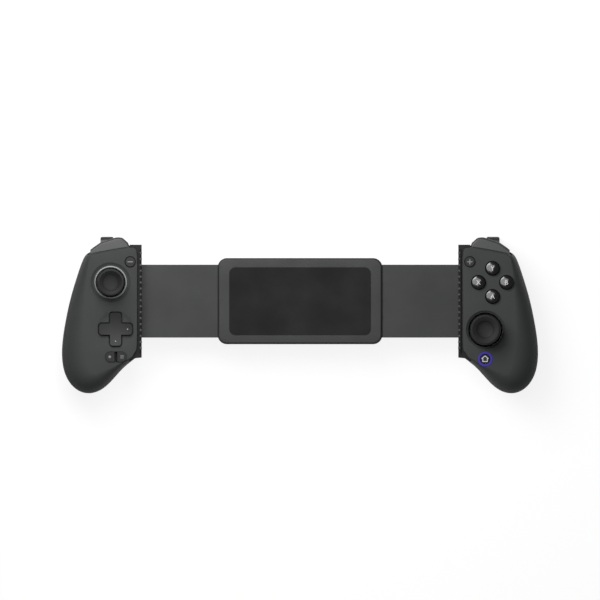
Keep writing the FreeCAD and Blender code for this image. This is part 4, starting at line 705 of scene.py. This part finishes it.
smooth_moulding("home_button", satin_black)
glow = bpy.data.materials.new("blue_violet_light")
glow.use_nodes = True
glow_tree = glow.node_tree
glow_shader = glow_tree.nodes["Principled BSDF"]
glow_shader.inputs["Base Color"].default_value = (0.03, 0.02, 0.15, 1.0)
glow_shader.inputs["Roughness"].default_value = 0.5
glow_shader.inputs["Specular IOR Level"].default_value = 0.2
glow_shader.inputs["Emission Strength"].default_value = 0.45
glow_place = glow_tree.nodes.new("ShaderNodeTexCoord")
glow_noise = glow_tree.nodes.new("ShaderNodeTexNoise")
glow_noise.inputs["Scale"].default_value = 260.0
glow_ramp = glow_tree.nodes.new("ShaderNodeValToRGB")
glow_ramp.color_ramp.elements[0].color = (0.025, 0.016, 0.21, 1.0)
glow_ramp.color_ramp.elements[1].color = (0.050, 0.036, 0.34, 1.0)
glow_tree.links.new(glow_place.outputs["Object"], glow_noise.inputs["Vector"])
glow_tree.links.new(glow_noise.outputs["Fac"], glow_ramp.inputs["Fac"])
glow_tree.links.new(glow_ramp.outputs["Color"], glow_shader.inputs["Emission Color"])
LIGHT_BORE = 3.3
LIGHT_RADIUS = 4.9
LIGHT_BEVEL = 0.2
LIGHT_STEPS = 96
SLEEVE_BORE = 5.0
SLEEVE_RADIUS = 5.2
SLEEVE_HEIGHT = 4.2
# Each bar has its place from the middle of the button, its length, width and thickness, and its turn.
HOME_SIGN = (
    (0.0, -1.62, 3.4, 0.50, 0.06, 0),
    (-1.45, -0.61, 0.50, 2.16, 0.07, 0),
    (-1.05, 1.15, 3.1, 0.50, 0.09, 40),
    (1.45, -0.61, 0.50, 2.16, 0.08, 0),
    (1.05, 1.15, 3.1, 0.50, 0.10, -40),
)
low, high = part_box("home_light_ring")
light_x, light_y, light_top = top_middle(low, high)
light_foot = low.z / MILLIMETRE
sleeve_top = light_foot + SLEEVE_HEIGHT
form = spun([
    (LIGHT_BORE, light_foot), (LIGHT_RADIUS, light_foot), (LIGHT_RADIUS, light_top - LIGHT_BEVEL),
    (LIGHT_RADIUS - LIGHT_BEVEL, light_top), (LIGHT_BORE + LIGHT_BEVEL, light_top),
    (LIGHT_BORE, light_top - LIGHT_BEVEL), (LIGHT_BORE, light_foot),
], light_x, light_y, LIGHT_STEPS)
finish_piece("home_light_guide", form, glow, "home_light_ring")
form = spun([
    (SLEEVE_BORE, light_foot), (SLEEVE_RADIUS, light_foot), (SLEEVE_RADIUS, sleeve_top),
    (SLEEVE_BORE, sleeve_top), (SLEEVE_BORE, light_foot),
], light_x, light_y, LIGHT_STEPS)
finish_piece("home_light_sleeve", form, charcoal, "right_faceplate", instead=False)
home_x, home_y, home_top = top_middle(*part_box("home_button"))
form = bmesh.new()
for across, up, length, width, thickness, turn in HOME_SIGN:
    bar_x = home_x + across * MILLIMETRE
    bar_y = home_y + up * MILLIMETRE
    bar(form, bar_x, bar_y, home_top, length, width, thickness, turn)
finish_piece("home_sign", form, letter_ink, "home_button", instead=False)


# The bumpers
# A satin grey key over each trigger, a little lighter than the grips.

bumper_satin = grained("bumper_satin", (0.042, 0.043, 0.043), 0.46, grain=2000.0, depth=0.00001, drift=0.05)
for side in ("left", "right"):
    smooth_moulding(f"{side}_bumper", bumper_satin)


# The triggers and their springs
# A hooked black blade turns on two pins, and a coil of wire at its hub pushes it back.

trigger_satin = grained("trigger_satin", (0.020, 0.021, 0.021), 0.44, grain=2200.0, drift=0.06)
COIL_RADIUS = 2.3
COIL_WIRE = 0.26
COIL_INSET = 0.25
for side in ("left", "right"):
    smooth_moulding(f"{side}_trigger", trigger_satin)
    low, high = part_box(f"{side}_trigger_spring")
    start = Vector((low.x + COIL_INSET * MILLIMETRE, (low.y + high.y) / 2, (low.z + high.z) / 2))
    length = high.x - low.x - 2 * COIL_INSET * MILLIMETRE
    form = coil(
        start, (1, 0, 0), length, COIL_RADIUS * MILLIMETRE, COIL_WIRE * MILLIMETRE, turns=4, around=28,
    )
    finish_piece(f"{side}_trigger_coil", form, spring_wire, f"{side}_trigger_spring")


# The buttons on the back
# A satin black key lies flush in the palm of each handle.

for side in ("left", "right"):
    smooth_moulding(f"{side}_back_button", satin_black)


# The circuit boards
# Laminate under black solder mask with small parts soldered on; they show when a faceplate is off.

board_black = grained("board_black", (0.010, 0.014, 0.012), 0.36, grain=500.0, depth=0.00001, drift=0.25)
chip_black = grained("chip_black", (0.015, 0.015, 0.016), 0.5, grain=1800.0, depth=0.00001)
BOARD_TOP = 29.5
# Each part has its place in metres, and its length, width and thickness in millimetres.
CHIPS = {
    "left": (
        (-0.1415, 0.0120, 6.0, 6.0, 0.9),
        (-0.1400, -0.0080, 4.0, 3.0, 0.8),
        (-0.1380, -0.0360, 5.0, 5.0, 0.9),
    ),
    "right": (
        (0.1405, 0.0050, 7.0, 7.0, 0.9),
        (0.1400, -0.0060, 4.0, 3.0, 0.8),
        (0.1385, -0.0370, 4.0, 6.0, 0.9),
    ),
}
CHIP_BEVEL = 0.12
for side in ("left", "right"):
    smooth_moulding(f"{side}_circuit_board", board_black)
    form = bmesh.new()
    for x, y, length, width, thickness in CHIPS[side]:
        bar(form, x, y, BOARD_TOP, length, width, thickness)
    bmesh.ops.bevel(
        form, geom=form.edges[:], offset=CHIP_BEVEL * MILLIMETRE, segments=2, profile=0.5,
        affect="EDGES", material=-1,
    )
    finish_piece(f"{side}_chips", form, chip_black, f"{side}_circuit_board", instead=False)


# The rubber sheets under the buttons
# Each is moulded in grey silicone, with soft domes under the direction pad or the action buttons
# that spring back.

silicone = grained("grey_silicone", (0.23, 0.23, 0.24), 0.60, grain=900.0, depth=0.00001, drift=0.05)
smooth_moulding("dpad_membrane", silicone)
smooth_moulding("face_button_membrane", silicone)


# The rumble motors and their weights
# Steel cans in the palms, each with a half-round sintered weight on its shaft.

motor_steel = bare_metal("motor_steel", (0.52, 0.53, 0.54), 0.32)
weight_metal = bare_metal("weight_metal", (0.30, 0.29, 0.28), 0.45)
for side in ("left", "right"):
    smooth_moulding(f"{side}_rumble_motor", motor_steel)
    smooth_moulding(f"{side}_rumble_weight", weight_metal)


# The battery
# A flat cell wrapped in crinkled foil lies behind the left circuit board.

foil = grained("battery_foil", (0.40, 0.41, 0.43), 0.35, grain=160.0, depth=0.0003, Metallic=0.8)
smooth_moulding("battery", foil)


# The charging socket
# A folded steel shell with a tongue inside it, at the foot of the right grip.

smooth_moulding("usb_c_socket", screw_steel)
